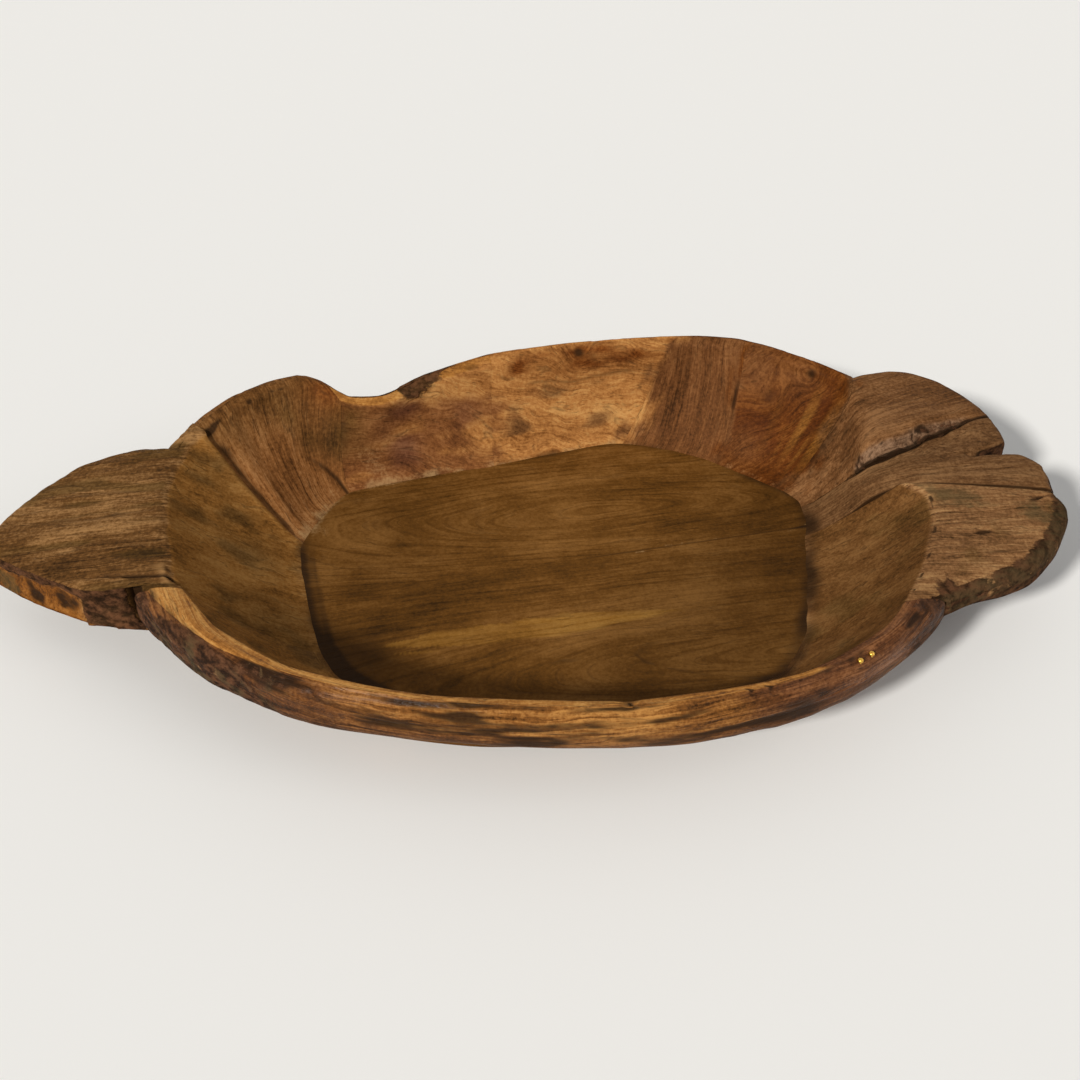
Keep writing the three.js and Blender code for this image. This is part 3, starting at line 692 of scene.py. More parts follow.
def carved_wood(name, ring_width, warp, fine, specular, roughness):
    """Waxed carved wood: growth rings across the grain, streaks, strands, threads and pores along it, broad
    bands and blotches and thin dark veins, in the tones that the piece carries, and masks for sapwood,
    stains and painted shade, bark, moss, dust, wear and a painted highlight, and calm, mottled, polished
    and veined places. The rings' width and their warp are in millimetres."""
    g = Graph(name)
    mask = {label: g.attribute(label) for label in MASKS}
    tones = [g.attribute(label, "Color") for label in TONES]
    grain = g.attribute("grain", "Vector")
    place = g.millimetres()
    parts = g.add("ShaderNodeSeparateXYZ", {0: grain}).outputs
    drift = g.pattern(grain, "drift")
    ripple = g.pattern(grain, "ripple")
    ring = g.total(parts["X"], g.swing(drift, 3.0 * warp), g.swing(ripple, warp))
    fibre = g.add("ShaderNodeCombineXYZ", {"X": ring, "Y": parts["Y"], "Z": parts["Z"]}).outputs[0]
    saw = g.math("FRACT", g.math("DIVIDE", ring, ring_width))
    late = g.times(g.span(saw, 0.5, 0.88), g.span(saw, 0.9, 1.0, 1.0, 0.0))
    late = g.times(late, g.span(g.pattern(fibre, "fading"), 0.36, 0.66))
    band = g.pattern(fibre, "band")
    streak = g.pattern(fibre, "streak")
    strand = g.pattern(fibre, "strand")
    thread = g.pattern(fibre, "thread")
    pores = g.span(g.pattern(fibre, "pores"), 0.64, 0.74)
    blotch = g.pattern(place, "blotch")
    smudge = g.pattern(fibre, "smudge")
    grit = g.pattern(place, "grit")
    vein = g.math("ABSOLUTE", g.swing(g.pattern(fibre, "vein"), 2.0))
    vein = g.times(g.span(vein, 0.0, 0.05, 1.0, 0.0), g.span(smudge, 0.46, 0.58))
    flake = g.pattern(place, "flake")

    # Tone, and colours laid over it mask by mask
    lively = g.span(mask["calm"], 0.0, 1.0, 1.0, 0.2)
    figure = g.total(g.swing(streak, 0.6), g.swing(strand, 0.5 * fine), g.times(late, -0.26), 0.09)
    tone = g.total(g.swing(blotch, 0.9), g.swing(band, 0.7), 0.5)
    tone = g.total(tone, g.swing(thread, 0.35 * fine), g.swing(grit, 0.55 * fine))
    tone = g.math("MULTIPLY_ADD", g.swing(smudge, 1.3), mask["mottle"], tone)
    tone = g.math("MULTIPLY_ADD", figure, lively, tone)
    colour = g.shade(tone, *tones)
    sap = g.span(g.total(mask["sap"], g.swing(streak, 0.9), g.swing(smudge, 0.5)), 0.32, 0.68)
    colour = g.mix(sap, colour, g.shade(tone, *SAP))
    worn = g.span(g.total(mask["worn"], g.swing(thread, 0.8), g.swing(streak, 0.6)), 0.3, 0.8)
    colour = g.mix(g.times(worn, 0.7), colour, tones[2])
    colour = g.mix(g.times(g.times(pores, lively), 0.3 * fine), colour, DARK_STAIN_AND_SHADE)
    colour = g.mix(g.times(g.times(vein, mask["veined"]), 0.75), colour, DARK_STAIN_AND_SHADE)
    stain_and_shade = g.total(mask["stain_and_shade"], g.swing(thread, 0.4), g.swing(strand, 0.4), g.swing(grit, 0.3))
    colour = g.mix(g.times(g.span(stain_and_shade, 0.22, 0.9), 0.9), colour, DARK_STAIN_AND_SHADE)
    crust = g.mix(g.span(g.total(flake, g.swing(grit, 0.25)), 0.36, 0.7), BARK_DARK, BARK_LIGHT)
    bark = g.span(g.total(mask["bark"], g.swing(flake, 0.9), g.swing(streak, 0.8)), 0.38, 0.62)
    colour = g.mix(g.times(bark, 0.92), colour, crust)
    moss = g.span(g.total(mask["moss"], g.swing(flake, 0.9), g.swing(streak, 0.9)), 0.35, 0.85)
    colour = g.mix(g.times(moss, 0.6), colour, MOSS)
    dust = g.span(g.total(mask["dust"], g.swing(grit, 0.9), g.swing(smudge, 0.9)), 0.35, 1.0)
    colour = g.mix(g.times(dust, 0.75), colour, DUST)
    g.feed(g.shader.inputs["Base Color"], colour)

    # Roughness and relief
    rough = g.span(g.total(thread, g.swing(smudge, 0.5)), 0.25, 0.75, roughness - 0.08, roughness + 0.1)
    crude = g.times(g.math("MAXIMUM", bark, g.math("MAXIMUM", dust, moss)), 0.25)
    rough = g.math("MULTIPLY_ADD", mask["polish"], -0.24, g.math("ADD", rough, crude))
    g.feed(g.shader.inputs["Roughness"], rough)
    g.shader.inputs["Specular IOR Level"].default_value = specular
    height = g.total(g.times(thread, 0.6), g.times(pores, -0.5), g.times(late, -0.2))
    height = g.total(height, g.times(smudge, 0.8), g.times(vein, -0.6), g.times(g.times(flake, bark), 4.0))
    relief = {"Strength": RELIEF_STRENGTH, "Distance": RELIEF_DEPTH * MM, "Height": height}
    bump = g.add("ShaderNodeBump", relief)
    g.feed(g.shader.inputs["Normal"], bump.outputs["Normal"])
    return g.material


def brass(name):
    """Old brass: a yellow metal with brown tarnish in soft spots a few tenths of a millimetre wide."""
    g = Graph(name)
    spots = g.noise(g.scaled(g.millimetres(), 1.6), 3.0)
    g.feed(g.shader.inputs["Base Color"], g.mix(g.span(spots, 0.35, 0.6), TARNISH, BRIGHT_BRASS))
    g.feed(g.shader.inputs["Roughness"], g.span(spots, 0.3, 0.7, 0.42, 0.24))
    g.shader.inputs["Metallic"].default_value = 1.0
    return g.material


def dowel_wood(name):
    """Plain turned dowel wood: pale, with fine fibres about a millimetre wide drawn out upwards."""
    g = Graph(name)
    fibre = g.noise(g.scaled(g.millimetres(), 0.9, 0.9, 0.2), 3.0)
    g.feed(g.shader.inputs["Base Color"], g.mix(g.span(fibre, 0.3, 0.7), DOWEL_DARK, DOWEL_LIGHT))
    g.feed(g.shader.inputs["Roughness"], g.span(fibre, 0.3, 0.7, 0.55, 0.7))
    return g.material


# Woods of the wall blocks, and of patches on them: dark, middle and light tone, matched to the photo
LEFT_HANDLE = wood_tones((54, 35, 16), (104, 70, 36), (160, 119, 74))
# Weathered wood, also used to paint shade into the front left corner
WEATHERED_AND_SHADE = wood_tones((54, 37, 16), (88, 62, 30), (116, 86, 48))
LEFT_WALL = wood_tones((80, 52, 21), (139, 93, 42), (166, 120, 64))
BARE_FACE = wood_tones((72, 40, 12), (122, 74, 28), (152, 100, 46))
LEFT_CORNER = wood_tones((75, 45, 20), (128, 82, 42), (161, 113, 68))
BACK_LEFT = wood_tones((76, 43, 21), (120, 74, 39), (153, 103, 61))
PURPLE_SMEAR = wood_tones((60, 36, 24), (97, 58, 40), (124, 82, 59))
GOLD = wood_tones((114, 69, 30), (169, 114, 61), (200, 149, 88))
RED_BAND = wood_tones((62, 29, 9), (104, 56, 21), (146, 88, 38))
GREY_SMUDGE = wood_tones((74, 46, 24), (112, 75, 42), (148, 106, 62))
BACK_RIGHT = wood_tones((59, 35, 16), (102, 63, 33), (132, 88, 51))
OLIVE_SMEAR = wood_tones((46, 31, 13), (82, 55, 25), (116, 82, 42))
RIGHT_CORNER = wood_tones((58, 29, 9), (90, 47, 15), (125, 74, 31))
DEEP_RED = wood_tones((50, 22, 7), (71, 33, 10), (96, 48, 17))
YELLOW_STREAK = wood_tones((96, 60, 22), (140, 92, 38), (172, 122, 58))
BACK_FINGER = wood_tones((55, 35, 17), (105, 69, 39), (146, 104, 66))
BROKEN_WOOD = wood_tones((46, 32, 21), (98, 71, 50), (146, 113, 86))
MIDDLE_FINGER = wood_tones((54, 36, 17), (96, 65, 38), (134, 98, 63))
FRONT_FINGER = wood_tones((62, 42, 21), (128, 89, 55), (168, 128, 84))
RIGHT_WALL = wood_tones((56, 37, 16), (100, 66, 33), (130, 92, 52))
FRONT_RIM = wood_tones((44, 26, 13), (92, 55, 28), (136, 90, 50))
FRONT_GOLD = wood_tones((60, 36, 13), (128, 81, 36), (178, 126, 66))
RIGHT_RIM = wood_tones((45, 26, 13), (95, 57, 32), (136, 90, 56))
OUTSIDE = wood_tones((38, 24, 12), (78, 50, 26), (112, 76, 42))


# Wall blocks

# Single marks in the wood: x, y, z and size
MARKS = {
    "left_face_knot": (-337, -22, 50, 8.0),
    "right_face_knot": (-312, -37, 55, 8.0),
    "face_moss": (-358, -5, 50, 12.0),
    "upper_smudge": (-204, 96, 64, 22.0),
    "lower_smudge": (-196, 24, 42, 18.0),
    # painted shade over the front left corner of both walls
    "front_corner_shade": (-172, -52, 42, 34.0),
    "red_peak": (-142, 155, 92, 15.0),
    "gold_foot": (-21, 152, 36, 12.0),
    "left_rim_bark": (-79, 162, 88, 13.0),
    "right_rim_bark": (-60, 166, 92, 9.0),
    "back_knot": (53, 186, 95, 5.0),
    "back_knot_tail": (64, 186, 91, 7.0),
    "back_knot_swirl": (53, 186, 92, 14.0),
    "brown_rim": (190, 162, 90, 24.0),
    "brown_foot": (176, 130, 36, 16.0),
    "brown_corner": (222, 146, 90, 16.0),
    "yellow_fan": (231, 113, 56, 26.0),
    "loop_stain": (197, 145, 72, 10.0),
    "loop_swirl": (199, 143, 69, 20.0),
    "corner_knot": (229, 142, 93, 5.0),
    "corner_knot_swirl": (229, 142, 90, 12.0),
    "fork": (334, 38, 80, 11.0),
    "tip_moss": (345, -28, 82, 14.0),
    "notch_bark": (262, -104, 82, 13.0),
    "notch_lump": (258, -106, 84, 11.0),
    "joint_pit": (42, -191, 93, 5.0),
    "joint_stain": (42, -191, 93, 4.0),
}
# Checks, seams between planks, the back left corner's crease and dark tracks in the rim, from above: x, y
HANDLE_CHECK = [(-296, -36), (-280, -37), (-242, -43), (-222, -58)]
FRONT_PLANK = [(-352, 30), (-300, 26), (-252, 31)]
BACK_PLANK = [(-338, 58), (-290, 54), (-256, 52)]
FORK = [(354, 41), (336, 39), (321, 35), (317, 39)]
MIDDLE_CHECK = [(294, -49), (303, -47), (311, -46)]
TIP_CHECK = [(346, -15), (353, -13), (360, -10)]
CORNER_CREASE = [
    (-162, 126), (-152, 125), (-145, 124), (-139, 122),
    (-135, 119), (-131, 113), (-128, 106),
]
RIM_TRACKS = [[(111, -186), (115, -188), (113, -192)], [(122, -184), (127, -186), (125, -190)]]


def age_block(s, plan):
    """Marks that all blocks share: soft adze hollows inside, a worn top, a rough outer face, scallops
    underneath, chips along the edges, darker wood along the floor, and dark weathered wood below the rim
    outside."""
    rough = s.ramp(plan.get("rough", (1.0, 1.0)))
    inside = 0.6 * value_noise(s.base / 36.0, 1) + 0.22 * value_noise(s.base / 12.0, 2)
    s.push(s.zone(FOOT, RIDGE) * inside)
    s.push(s.zone(RIDGE, EDGE) * (0.45 * rough_noise(s.base / 20.0, 3, 3) - 0.4))
    s.push(-rough * s.zone(EDGE, LOW) * (0.8 + 0.8 * s.streaks(30.0, 8.0, 4, 3)))
    s.push(-rough * s.zone(LOW, OUTER_FOOT) * 1.8 * np.abs(value_noise(s.base / 24.0, 5)))
    chips = patches(s.base, 9.0, 2, 6, 0.15, 0.6)
    s.push(-0.9 * rough * chips * (bell(s.walk, RIDGE, 0.07) + bell(s.walk, EDGE, 0.08)))
    # darker along the foot of the wall, most at the right end
    right = smoothstep(s.base[..., 0], 120.0, 190.0) * (1.0 - smoothstep(s.base[..., 1], 60.0, 100.0))
    foot_darkening = 0.3 + 0.35 * right + 0.6 * rough_noise(s.base / 22.0, 2, 7)
    s.mark("stain_and_shade", foot_darkening * (1.0 - smoothstep(s.around, 0.5, 8.0 + 14.0 * right)))
    s.paint(s.zone(3.05, OUTER_FOOT, 0.2), OUTSIDE)
    s.mark("mottle", plan.get("mottle", 0.4))
    s.mark("veined", plan.get("veined", 0.55))


def worn_joint(s, gap, depth, width, stain_and_shade, low=FOOT, high=2.9):
    """A joint's worn edge: the wood falls away and darkens within a width of the block's end."""
    reach = s.zone(low, high)
    s.push(-depth * bell(gap, 0.0, width) * reach)
    s.mark("stain_and_shade", stain_and_shade * bell(gap, 0.0, 0.8 * width) * reach)


def open_split(s, gap, width):
    """A joint gone open through the bark: the edge falls back into a black cleft of a width."""
    cleft = (1.0 - smoothstep(gap, 0.5 * width, 1.5 * width)) * s.zone(1.85, 3.4, 0.1)
    s.push(-6.0 * cleft)
    s.mark("bark", -2.0 * cleft)
    s.mark("stain_and_shade", 2.0 * cleft)


def bark_rim(s, low=EDGE, amount=0.8):
    """Bark left along the outer rim, ragged where it begins."""
    ragged = s.walk + 0.15 * s.streaks(22.0, 9.0, 9)
    band = smoothstep(ragged, low - 0.15, low + 0.15) * (1.0 - smoothstep(s.walk, 3.0, 3.3))
    s.mark("bark", band * amount * (0.75 + 0.5 * rough_noise(s.base / 20.0, 2, 10)))


def dusty_foot(s, amount, height, seed):
    """Pale dust lodged in patches at the foot of the wall, up to a height."""
    clumps = 0.5 + 0.6 * rough_noise(s.base / 11.0, 2, seed)
    s.mark("dust", amount * clumps * (1.0 - smoothstep(s.around, 1.0, height)))


def level_grain(s):
    """Grain along the bowl's length, as the handles and end walls have it."""
    return s.base[..., 1] + 0.2 * s.base[..., 2], s.base[..., 0], s.base[..., 2]


def smudged_wall(s, inside, wood):
    """A smooth inner wall with soft dark smudges, which run on over the joints."""
    smudges = patches(s.base, (26.0, 19.0, 26.0), 3, 27, 0.0, 0.5)
    s.paint(inside, wood)
    s.paint(0.7 * inside * smudges, WEATHERED_AND_SHADE)
    s.mark("calm", 0.75 * inside)
    s.mark("mottle", 0.3 * inside)


def swirled_grain(s):
    """Grain along the wall that swirls by noise, running on over the joints of the back."""
    swirl = 10.0 * rough_noise(s.base / 30.0, 2, 31)
    return 0.75 * s.around - 0.18 * s.turn + swirl, s.turn, 0.4 * s.around


def carve_left_handle(s):
    """Weathered planks along the handle, ragged ends above the smooth wall, an open check near the front, and
    a bark lip over a bare face with two dark knots."""
    top = s.zone(1.04, EDGE, 0.05)
    planks = value_noise(stretched(s.base, 170.0, 15.0, 60.0), 11)
    lines = rough_noise(stretched(s.base, 140.0, 6.5, 60.0), 2, 12)
    lens = patches(s.base, (52.0, 9.0, 40.0), 2, 13, 0.0, 0.45)
    s.push(top * (1.0 * planks + 0.45 * lines - 0.5 * lens))
    s.paint(0.85 * top * lens, WEATHERED_AND_SHADE)
    s.mark("stain_and_shade", top * 0.25 * smoothstep(-lines, 0.2, 0.6))
    s.mark("worn", top * (0.1 + 0.55 * planks))
    s.mark("calm", 0.45 * top)
    # Ragged ends above the wall
    steps = value_noise(stretched(s.base, 1000.0, 15.0, 1000.0), 16)
    steps = steps + 0.5 * value_noise(stretched(s.base, 900.0, 6.0, 900.0), 17)
    s.points[..., 0] += 2.2 * steps * bell(s.walk, RIDGE, 0.16)
    s.push(bell(s.walk, 1.1, 0.09) * 1.1 * rough_noise(stretched(s.base, 16.0, 9.0, 30.0), 2, 18))
    s.mark("stain_and_shade", bell(s.walk, 1.02, 0.08) * (0.05 + 0.7 * value_noise(s.base / 15.0, 14)))
    s.mark("worn", bell(s.walk, 1.12, 0.06) * (0.15 + 0.5 * value_noise(s.base / 12.0, 20)))
    # Check, seams between the planks, bare face and bark
    s.cut(HANDLE_CHECK, 1.7, 5.0, 0.7, EDGE)
    s.cut(FRONT_PLANK, 2.0, 0.8, stain_and_shade=0.5)
    s.cut(BACK_PLANK, 2.4, 0.8, stain_and_shade=0.45)
    ragged = s.walk + 0.1 * rough_noise(s.base / 10.0, 2, 15)
    bare = smoothstep(ragged, 2.12, 2.22) * (1.0 - smoothstep(ragged, 3.1, 3.3)) * s.stretch(0.5, 0.92, 0.02)
    s.push(-1.6 * bare)
    s.paint(bare, BARE_FACE)
    s.mark("stain_and_shade", 0.55 * bare * patches(s.base, 10.0, 3, 20, 0.05, 0.5))
    s.mark("bark", s.zone(1.97, 3.7, 0.04) * (0.95 - 1.4 * bare))
    knots = s.spot("left_face_knot") + s.spot("right_face_knot")
    knots = knots * (0.9 + 0.7 * rough_noise(s.base / 4.0, 2, 10))
    s.mark("moss", 1.3 * s.spot("face_moss"))
    open_split(s, s.from_end, 4.5)
    s.push(-1.2 * knots)
    s.mark("stain_and_shade", 1.3 * knots)
    # Wall below, which stands proud of the next block
    smudged_wall(s, s.zone(FOOT, WALL_TOP, 0.05), LEFT_WALL)
    s.paint(0.5 * s.spot("upper_smudge") + 0.6 * s.spot("lower_smudge"), WEATHERED_AND_SHADE)
    # painted shade in the front left corner of the wall
    s.paint(0.6 * s.spot("front_corner_shade"), WEATHERED_AND_SHADE)
    proud = bell(s.from_start, 3.0, 2.5) * s.zone(0.08, 1.1)
    s.push(0.6 * proud)
    # wear and a painted highlight along the raised edge of the wall
    s.mark("worn", 0.55 * proud)
    s.mark("stain_and_shade", 0.5 * bell(s.from_start, 0.0, 2.0) * s.zone(0.08, RIDGE))
    return level_grain(s)


def corner_smear(s, gap, width):
    """A dark olive smear over the upper part of the corner's joint, a fillet behind it, a red patch above and
    a curved crease below, alike on both sides."""
    cloud = 0.8 + 0.5 * rough_noise(s.base / 18.0, 2, 28)
    s.paint(bell(gap, 0.0, width) * s.zone(0.3, RIDGE, 0.15) * cloud, OLIVE_SMEAR)
    s.paint(0.9 * s.spot("red_peak"), RED_BAND)
    s.mark("calm", 0.8 * bell(gap, 0.0, 14.0))
    fillet = 2.6 * np.clip(1.0 - gap / 22.0, 0.0, 1.0) ** 2 * s.zone(0.5, 1.05, 0.2)
    s.points = s.points - outward(s.base) * fillet[..., None]
    s.cut(CORNER_CREASE, 2.6, 1.3, -0.1, 0.6, 0.75)


def carve_back_left_corner(s):
    """A hollow facet with upright fanned lines and a leaning olive smear, cut off from the end wall by a deep
    groove beside a ragged bank."""
    upright = s.zone(0.06, 1.06)
    s.push(-2.5 * np.sin(math.pi * s.share) ** 2 * s.zone(0.05, 0.95))
    s.push(0.5 * s.fan_noise(13.0, 1.2, 21) * s.zone(0.1, RIDGE))
    lines = smoothstep(s.fan_noise(24.0, 2.2, 22), 0.5, 0.9)
    s.push(-0.4 * lines * s.zone(0.2, RIDGE, 0.15))
    s.mark("stain_and_shade", 0.3 * lines * s.zone(0.2, RIDGE, 0.15) * s.stretch(0.1, 0.9))
    s.paint(0.55 * s.zone(0.7, EDGE, 0.25), OLIVE_SMEAR)
    lean = 0.2 + 0.22 * smoothstep(s.walk, 0.45, 0.95)
    cloud = 0.8 + 0.5 * rough_noise(s.base / 18.0, 2, 30)
    s.paint(0.8 * bell(s.share, lean, 0.13) * s.zone(0.4, RIDGE, 0.12) * cloud, OLIVE_SMEAR)
    corner_smear(s, s.from_start, 17.0)
    # Groove and bank
    wander = s.from_end + 2.0 * value_noise(s.base / 16.0, 24)
    groove = bell(wander, 5.0, 5.5) * upright
    bank = bell(wander, 15.0, 4.0) * upright * (0.6 + 0.6 * value_noise(s.base / 7.0, 25))
    s.push(1.3 * bank - 3.2 * groove)
    # a real groove, darkened further with painted shade
    s.mark("stain_and_shade", groove * (0.5 + 0.35 * value_noise(s.base / 12.0, 26)))
    s.mark("worn", 0.6 * bank)
    bark_rim(s)
    s.mark("stain_and_shade", 0.8 * bell(s.walk, RIDGE, 0.06) * patches(s.base, 8.0, 2, 29, 0.0, 0.4))
    dusty_foot(s, 1.1, 17.0, 23)
    s.mark("calm", 0.35)
    return s.share * 100.0 + 0.1 * s.around, s.around, s.from_start


def carve_back_left(s):
    """Reddish swirling heartwood with a pale strip along the low rim and a dark patch of bark on it."""
    s.mark("sap", s.zone(0.99, 1.75, 0.06) * (0.75 + 0.5 * s.streaks(16.0, 6.0, 35)))
    s.mark("bark", s.zone(1.2, LOW, 0.15) * 0.75 * s.stretch(0.28, 0.55, 0.08))
    bark_rim(s, 1.75, 0.6)
    cloud = patches(s.base, 30.0, 2, 34, -0.3, 0.5)
    s.paint(0.8 * cloud * s.zone(0.12, 0.92, 0.12) * s.stretch(0.2, 0.8, 0.2), PURPLE_SMEAR)
    glow = patches(s.base, (40.0, 40.0, 14.0), 2, 32, 0.15, 0.5)
    s.paint(0.6 * glow * s.zone(0.05, 0.9, 0.1) * smoothstep(s.share, 0.0, 0.15), GOLD)
    s.paint(0.7 * s.spot("gold_foot"), GOLD)
    # Golden band under the low rim, with crusts and bark
    low = 0.62 + 0.38 * s.share + 0.1 * rough_noise(s.base / 16.0, 2, 36)
    band = smoothstep(s.walk, low - 0.08, low + 0.08) * (1.0 - smoothstep(s.walk, 1.9, 2.1))
    crust = patches(s.base, (16.0, 16.0, 8.0), 3, 37, 0.05, 0.5)
    s.paint(0.85 * band, GOLD)
    s.mark("stain_and_shade", 0.5 * band * crust)
    s.push(-0.6 * band * crust)
    s.mark("bark", band * (1.1 * s.spot("left_rim_bark") + 0.7 * s.spot("right_rim_bark")))
    corner_smear(s, s.from_end, 32.0)
    # painted shade beside the joint with the back left corner block
    s.mark("stain_and_shade", 0.48 * bell(s.from_end, 0.0, 11.0) * s.zone(0.35, 0.92, 0.15))
    dusty_foot(s, 1.2, 11.0, 33)
    s.mark("dust", 0.45 * bell(s.from_end, 26.0, 20.0) * s.zone(0.05, 0.5, 0.1))
    s.mark("calm", 0.65)
    return swirled_grain(s)


def carve_back_centre(s):
    """Golden wood with a red-brown streaked band under the rim, a knot with a tail, and grey-brown smudges
    below."""
    wave = rough_noise(stretched(s.base, 46.0, 46.0, 20.0), 2, 41)
    apart = 1.0 - smoothstep(s.share, 0.8, 0.98)
    band = apart * bell(s.walk + 0.14 * wave, 0.92, 0.17) * (0.8 + 0.9 * s.streaks(20.0, 8.0, 43))
    s.paint(band, RED_BAND)
    s.mark("stain_and_shade", 0.55 * bell(s.walk + 0.12 * wave, 0.7, 0.022) * s.stretch(0.08, 0.8, 0.1))
    smear = patches(s.base, (34.0, 34.0, 14.0), 2, 44, 0.05, 0.45)
    s.paint(0.9 * apart * smear * s.zone(0.04, 0.6, 0.12), GREY_SMUDGE)
    s.mark("stain_and_shade", 0.9 * s.spot("back_knot") + 0.45 * s.spot("back_knot_tail"))
    dusty_foot(s, 0.8, 6.0, 45)
    bark_rim(s)
    s.mark("calm", 0.5 + 0.15 * (1.0 - apart))
    across, along, inward = swirled_grain(s)
    return across + 16.0 * s.spot("back_knot_swirl"), along, inward


def carve_back_right(s):
    """Reddish facet with short upright streaks in a curved fan."""
    s.push(-1.5 * np.sin(math.pi * s.share) * s.zone(0.1, 0.95))
    s.mark("stain_and_shade", 0.42 * smoothstep(s.fan_noise(34.0, 4.0, 51), 0.35, 0.8) * s.zone(0.12, RIDGE, 0.1))
    s.mark("stain_and_shade", 0.3 * s.zone(0.35, RIDGE, 0.15) * bell(s.share, 0.1, 0.12))
    worn_joint(s, s.from_start, 0.6, 2.5, 0.4, FOOT, 0.7)
    dusty_foot(s, 0.6, 6.0, 53)
    bark_rim(s)
    s.mark("calm", 0.45)
    return s.share * 90.0 - 16.0 * s.walk**2, s.around, s.from_start


def carve_back_right_corner(s):
    """Smooth reddish hollow with dark clouds, a looped knot under the rim, and yellow streaks beside the
    handle."""
    s.push(-3.5 * np.sin(math.pi * s.share) * s.zone(0.05, 0.95))
    cloud = patches(s.base, 24.0, 2, 55, 0.0, 0.4)
    s.paint(0.75 * cloud * s.zone(0.2, RIDGE, 0.1), DEEP_RED)
    s.paint(0.85 * s.spot("brown_rim") + 0.6 * s.spot("brown_foot"), BACK_RIGHT)
    s.paint(0.6 * s.spot("brown_corner"), BACK_RIGHT)
    fan = smoothstep(s.fan_noise(22.0, 1.6, 56), -0.2, 0.5)
    s.paint(0.9 * fan * s.spot("yellow_fan"), YELLOW_STREAK)
    s.mark("stain_and_shade", 0.5 * s.spot("loop_stain") + 0.9 * s.spot("corner_knot"))
    worn_joint(s, s.from_end, 0.6, 2.5, 0.4, FOOT, 0.7)
    dusty_foot(s, 0.9, 14.0, 54)
    bark_rim(s)
    s.mark("calm", 0.5)
    swirl = 12.0 * s.spot("loop_swirl") + 16.0 * s.spot("corner_knot_swirl")
    return 0.4 * s.around + 46.0 * s.share + swirl, s.from_start, 0.5 * s.around


def carve_back_finger(s):
    """Smooth top that stands higher than the next finger and breaks off along the split, in a rough slope
    over a dark crevice."""
    reach = smoothstep(s.walk, 0.6, 0.98) * (1.0 - smoothstep(s.walk, 1.3, 1.95))
    s.lift(5.5 * reach * (1.0 - smoothstep(s.from_start, 8.0, 60.0)))
    # Broken slope
    ragged = s.from_start + 2.5 * rough_noise(s.base / 8.0, 2, 63)
    broken = reach * (1.0 - smoothstep(ragged, 2.0, 12.0))
    s.lift(-8.5 * broken)
    torn = rough_noise(stretched(s.base, 8.0, 5.0, 5.0), 3, 61)
    s.push(3.0 * smoothstep(broken, 0.0, 0.5) * torn)
    s.push(0.8 * smoothstep(broken, 0.0, 0.5) * value_noise(s.base / 3.0, 66))
    s.paint(1.2 * smoothstep(broken, 0.1, 0.5), BROKEN_WOOD)
    s.mark("stain_and_shade", smoothstep(broken, 0.05, 0.4) * smoothstep(-torn, 0.0, 0.4) * 0.9)
    s.mark("calm", 0.5)
    s.push(s.zone(1.05, 1.95) * 0.35 * rough_noise(stretched(s.base, 70.0, 7.0, 40.0), 2, 62))
    s.mark("stain_and_shade", 1.1 * (1.0 - smoothstep(s.from_start, 0.3, 3.0)) * s.zone(0.75, EDGE))
    s.mark("bark", 0.42 * smoothstep(broken, 0.05, 0.4))
    # Rough wall below, and the split
    rough_side = rough_noise(s.base / 9.0, 3, 64)
    s.push(0.9 * rough_side * s.zone(0.1, 0.85, 0.15))
    s.mark("stain_and_shade", (0.3 + 0.6 * rough_side) * s.zone(0.1, 0.9, 0.15))
    s.sway(s.from_start, *SPLIT_SWAY)
    s.mark("bark", s.zone(1.92, LOW, 0.06) * 0.6)
    worn_joint(s, s.from_end, 0.3, 5.0, 0.15)
    across = 0.92 * s.base[..., 1] - 0.4 * s.base[..., 0]
    return across + 0.3 * s.base[..., 2], s.base[..., 0], s.base[..., 2]


def carve_middle_finger(s):
    """A light strip that flows from the handle's top down the wall, lower beside the broken finger and forked
    at its tip."""
    s.lift(-4.0 * smoothstep(s.share, 0.5, 1.0) * s.zone(0.85, 1.6, 0.2))
    s.push(s.zone(0.2, 1.95) * 0.45 * s.fan_noise(7.0, 0.8, 71))
    s.mark("worn", s.zone(0.75, 1.9, 0.2) * 0.3)
    s.mark("stain_and_shade", 1.1 * s.spot("fork") * s.zone(1.9, 3.3))
    s.mark("stain_and_shade", 0.4 * smoothstep(s.share, 0.6, 1.0) * s.zone(0.1, 0.9, 0.15))
    s.cut(FORK, 2.2, 5.0)
    s.mark("calm", 0.5)
    s.mark("bark", s.zone(1.96, LOW, 0.05) * 0.7)
    worn_joint(s, s.from_start, 0.7, 1.6, 0.7, 0.6)
    worn_joint(s, s.from_end, 0.4, 1.4, 0.8, 0.8)
    s.sway(s.from_end, *SPLIT_SWAY)
    return s.share * 46.0, s.around, s.from_start


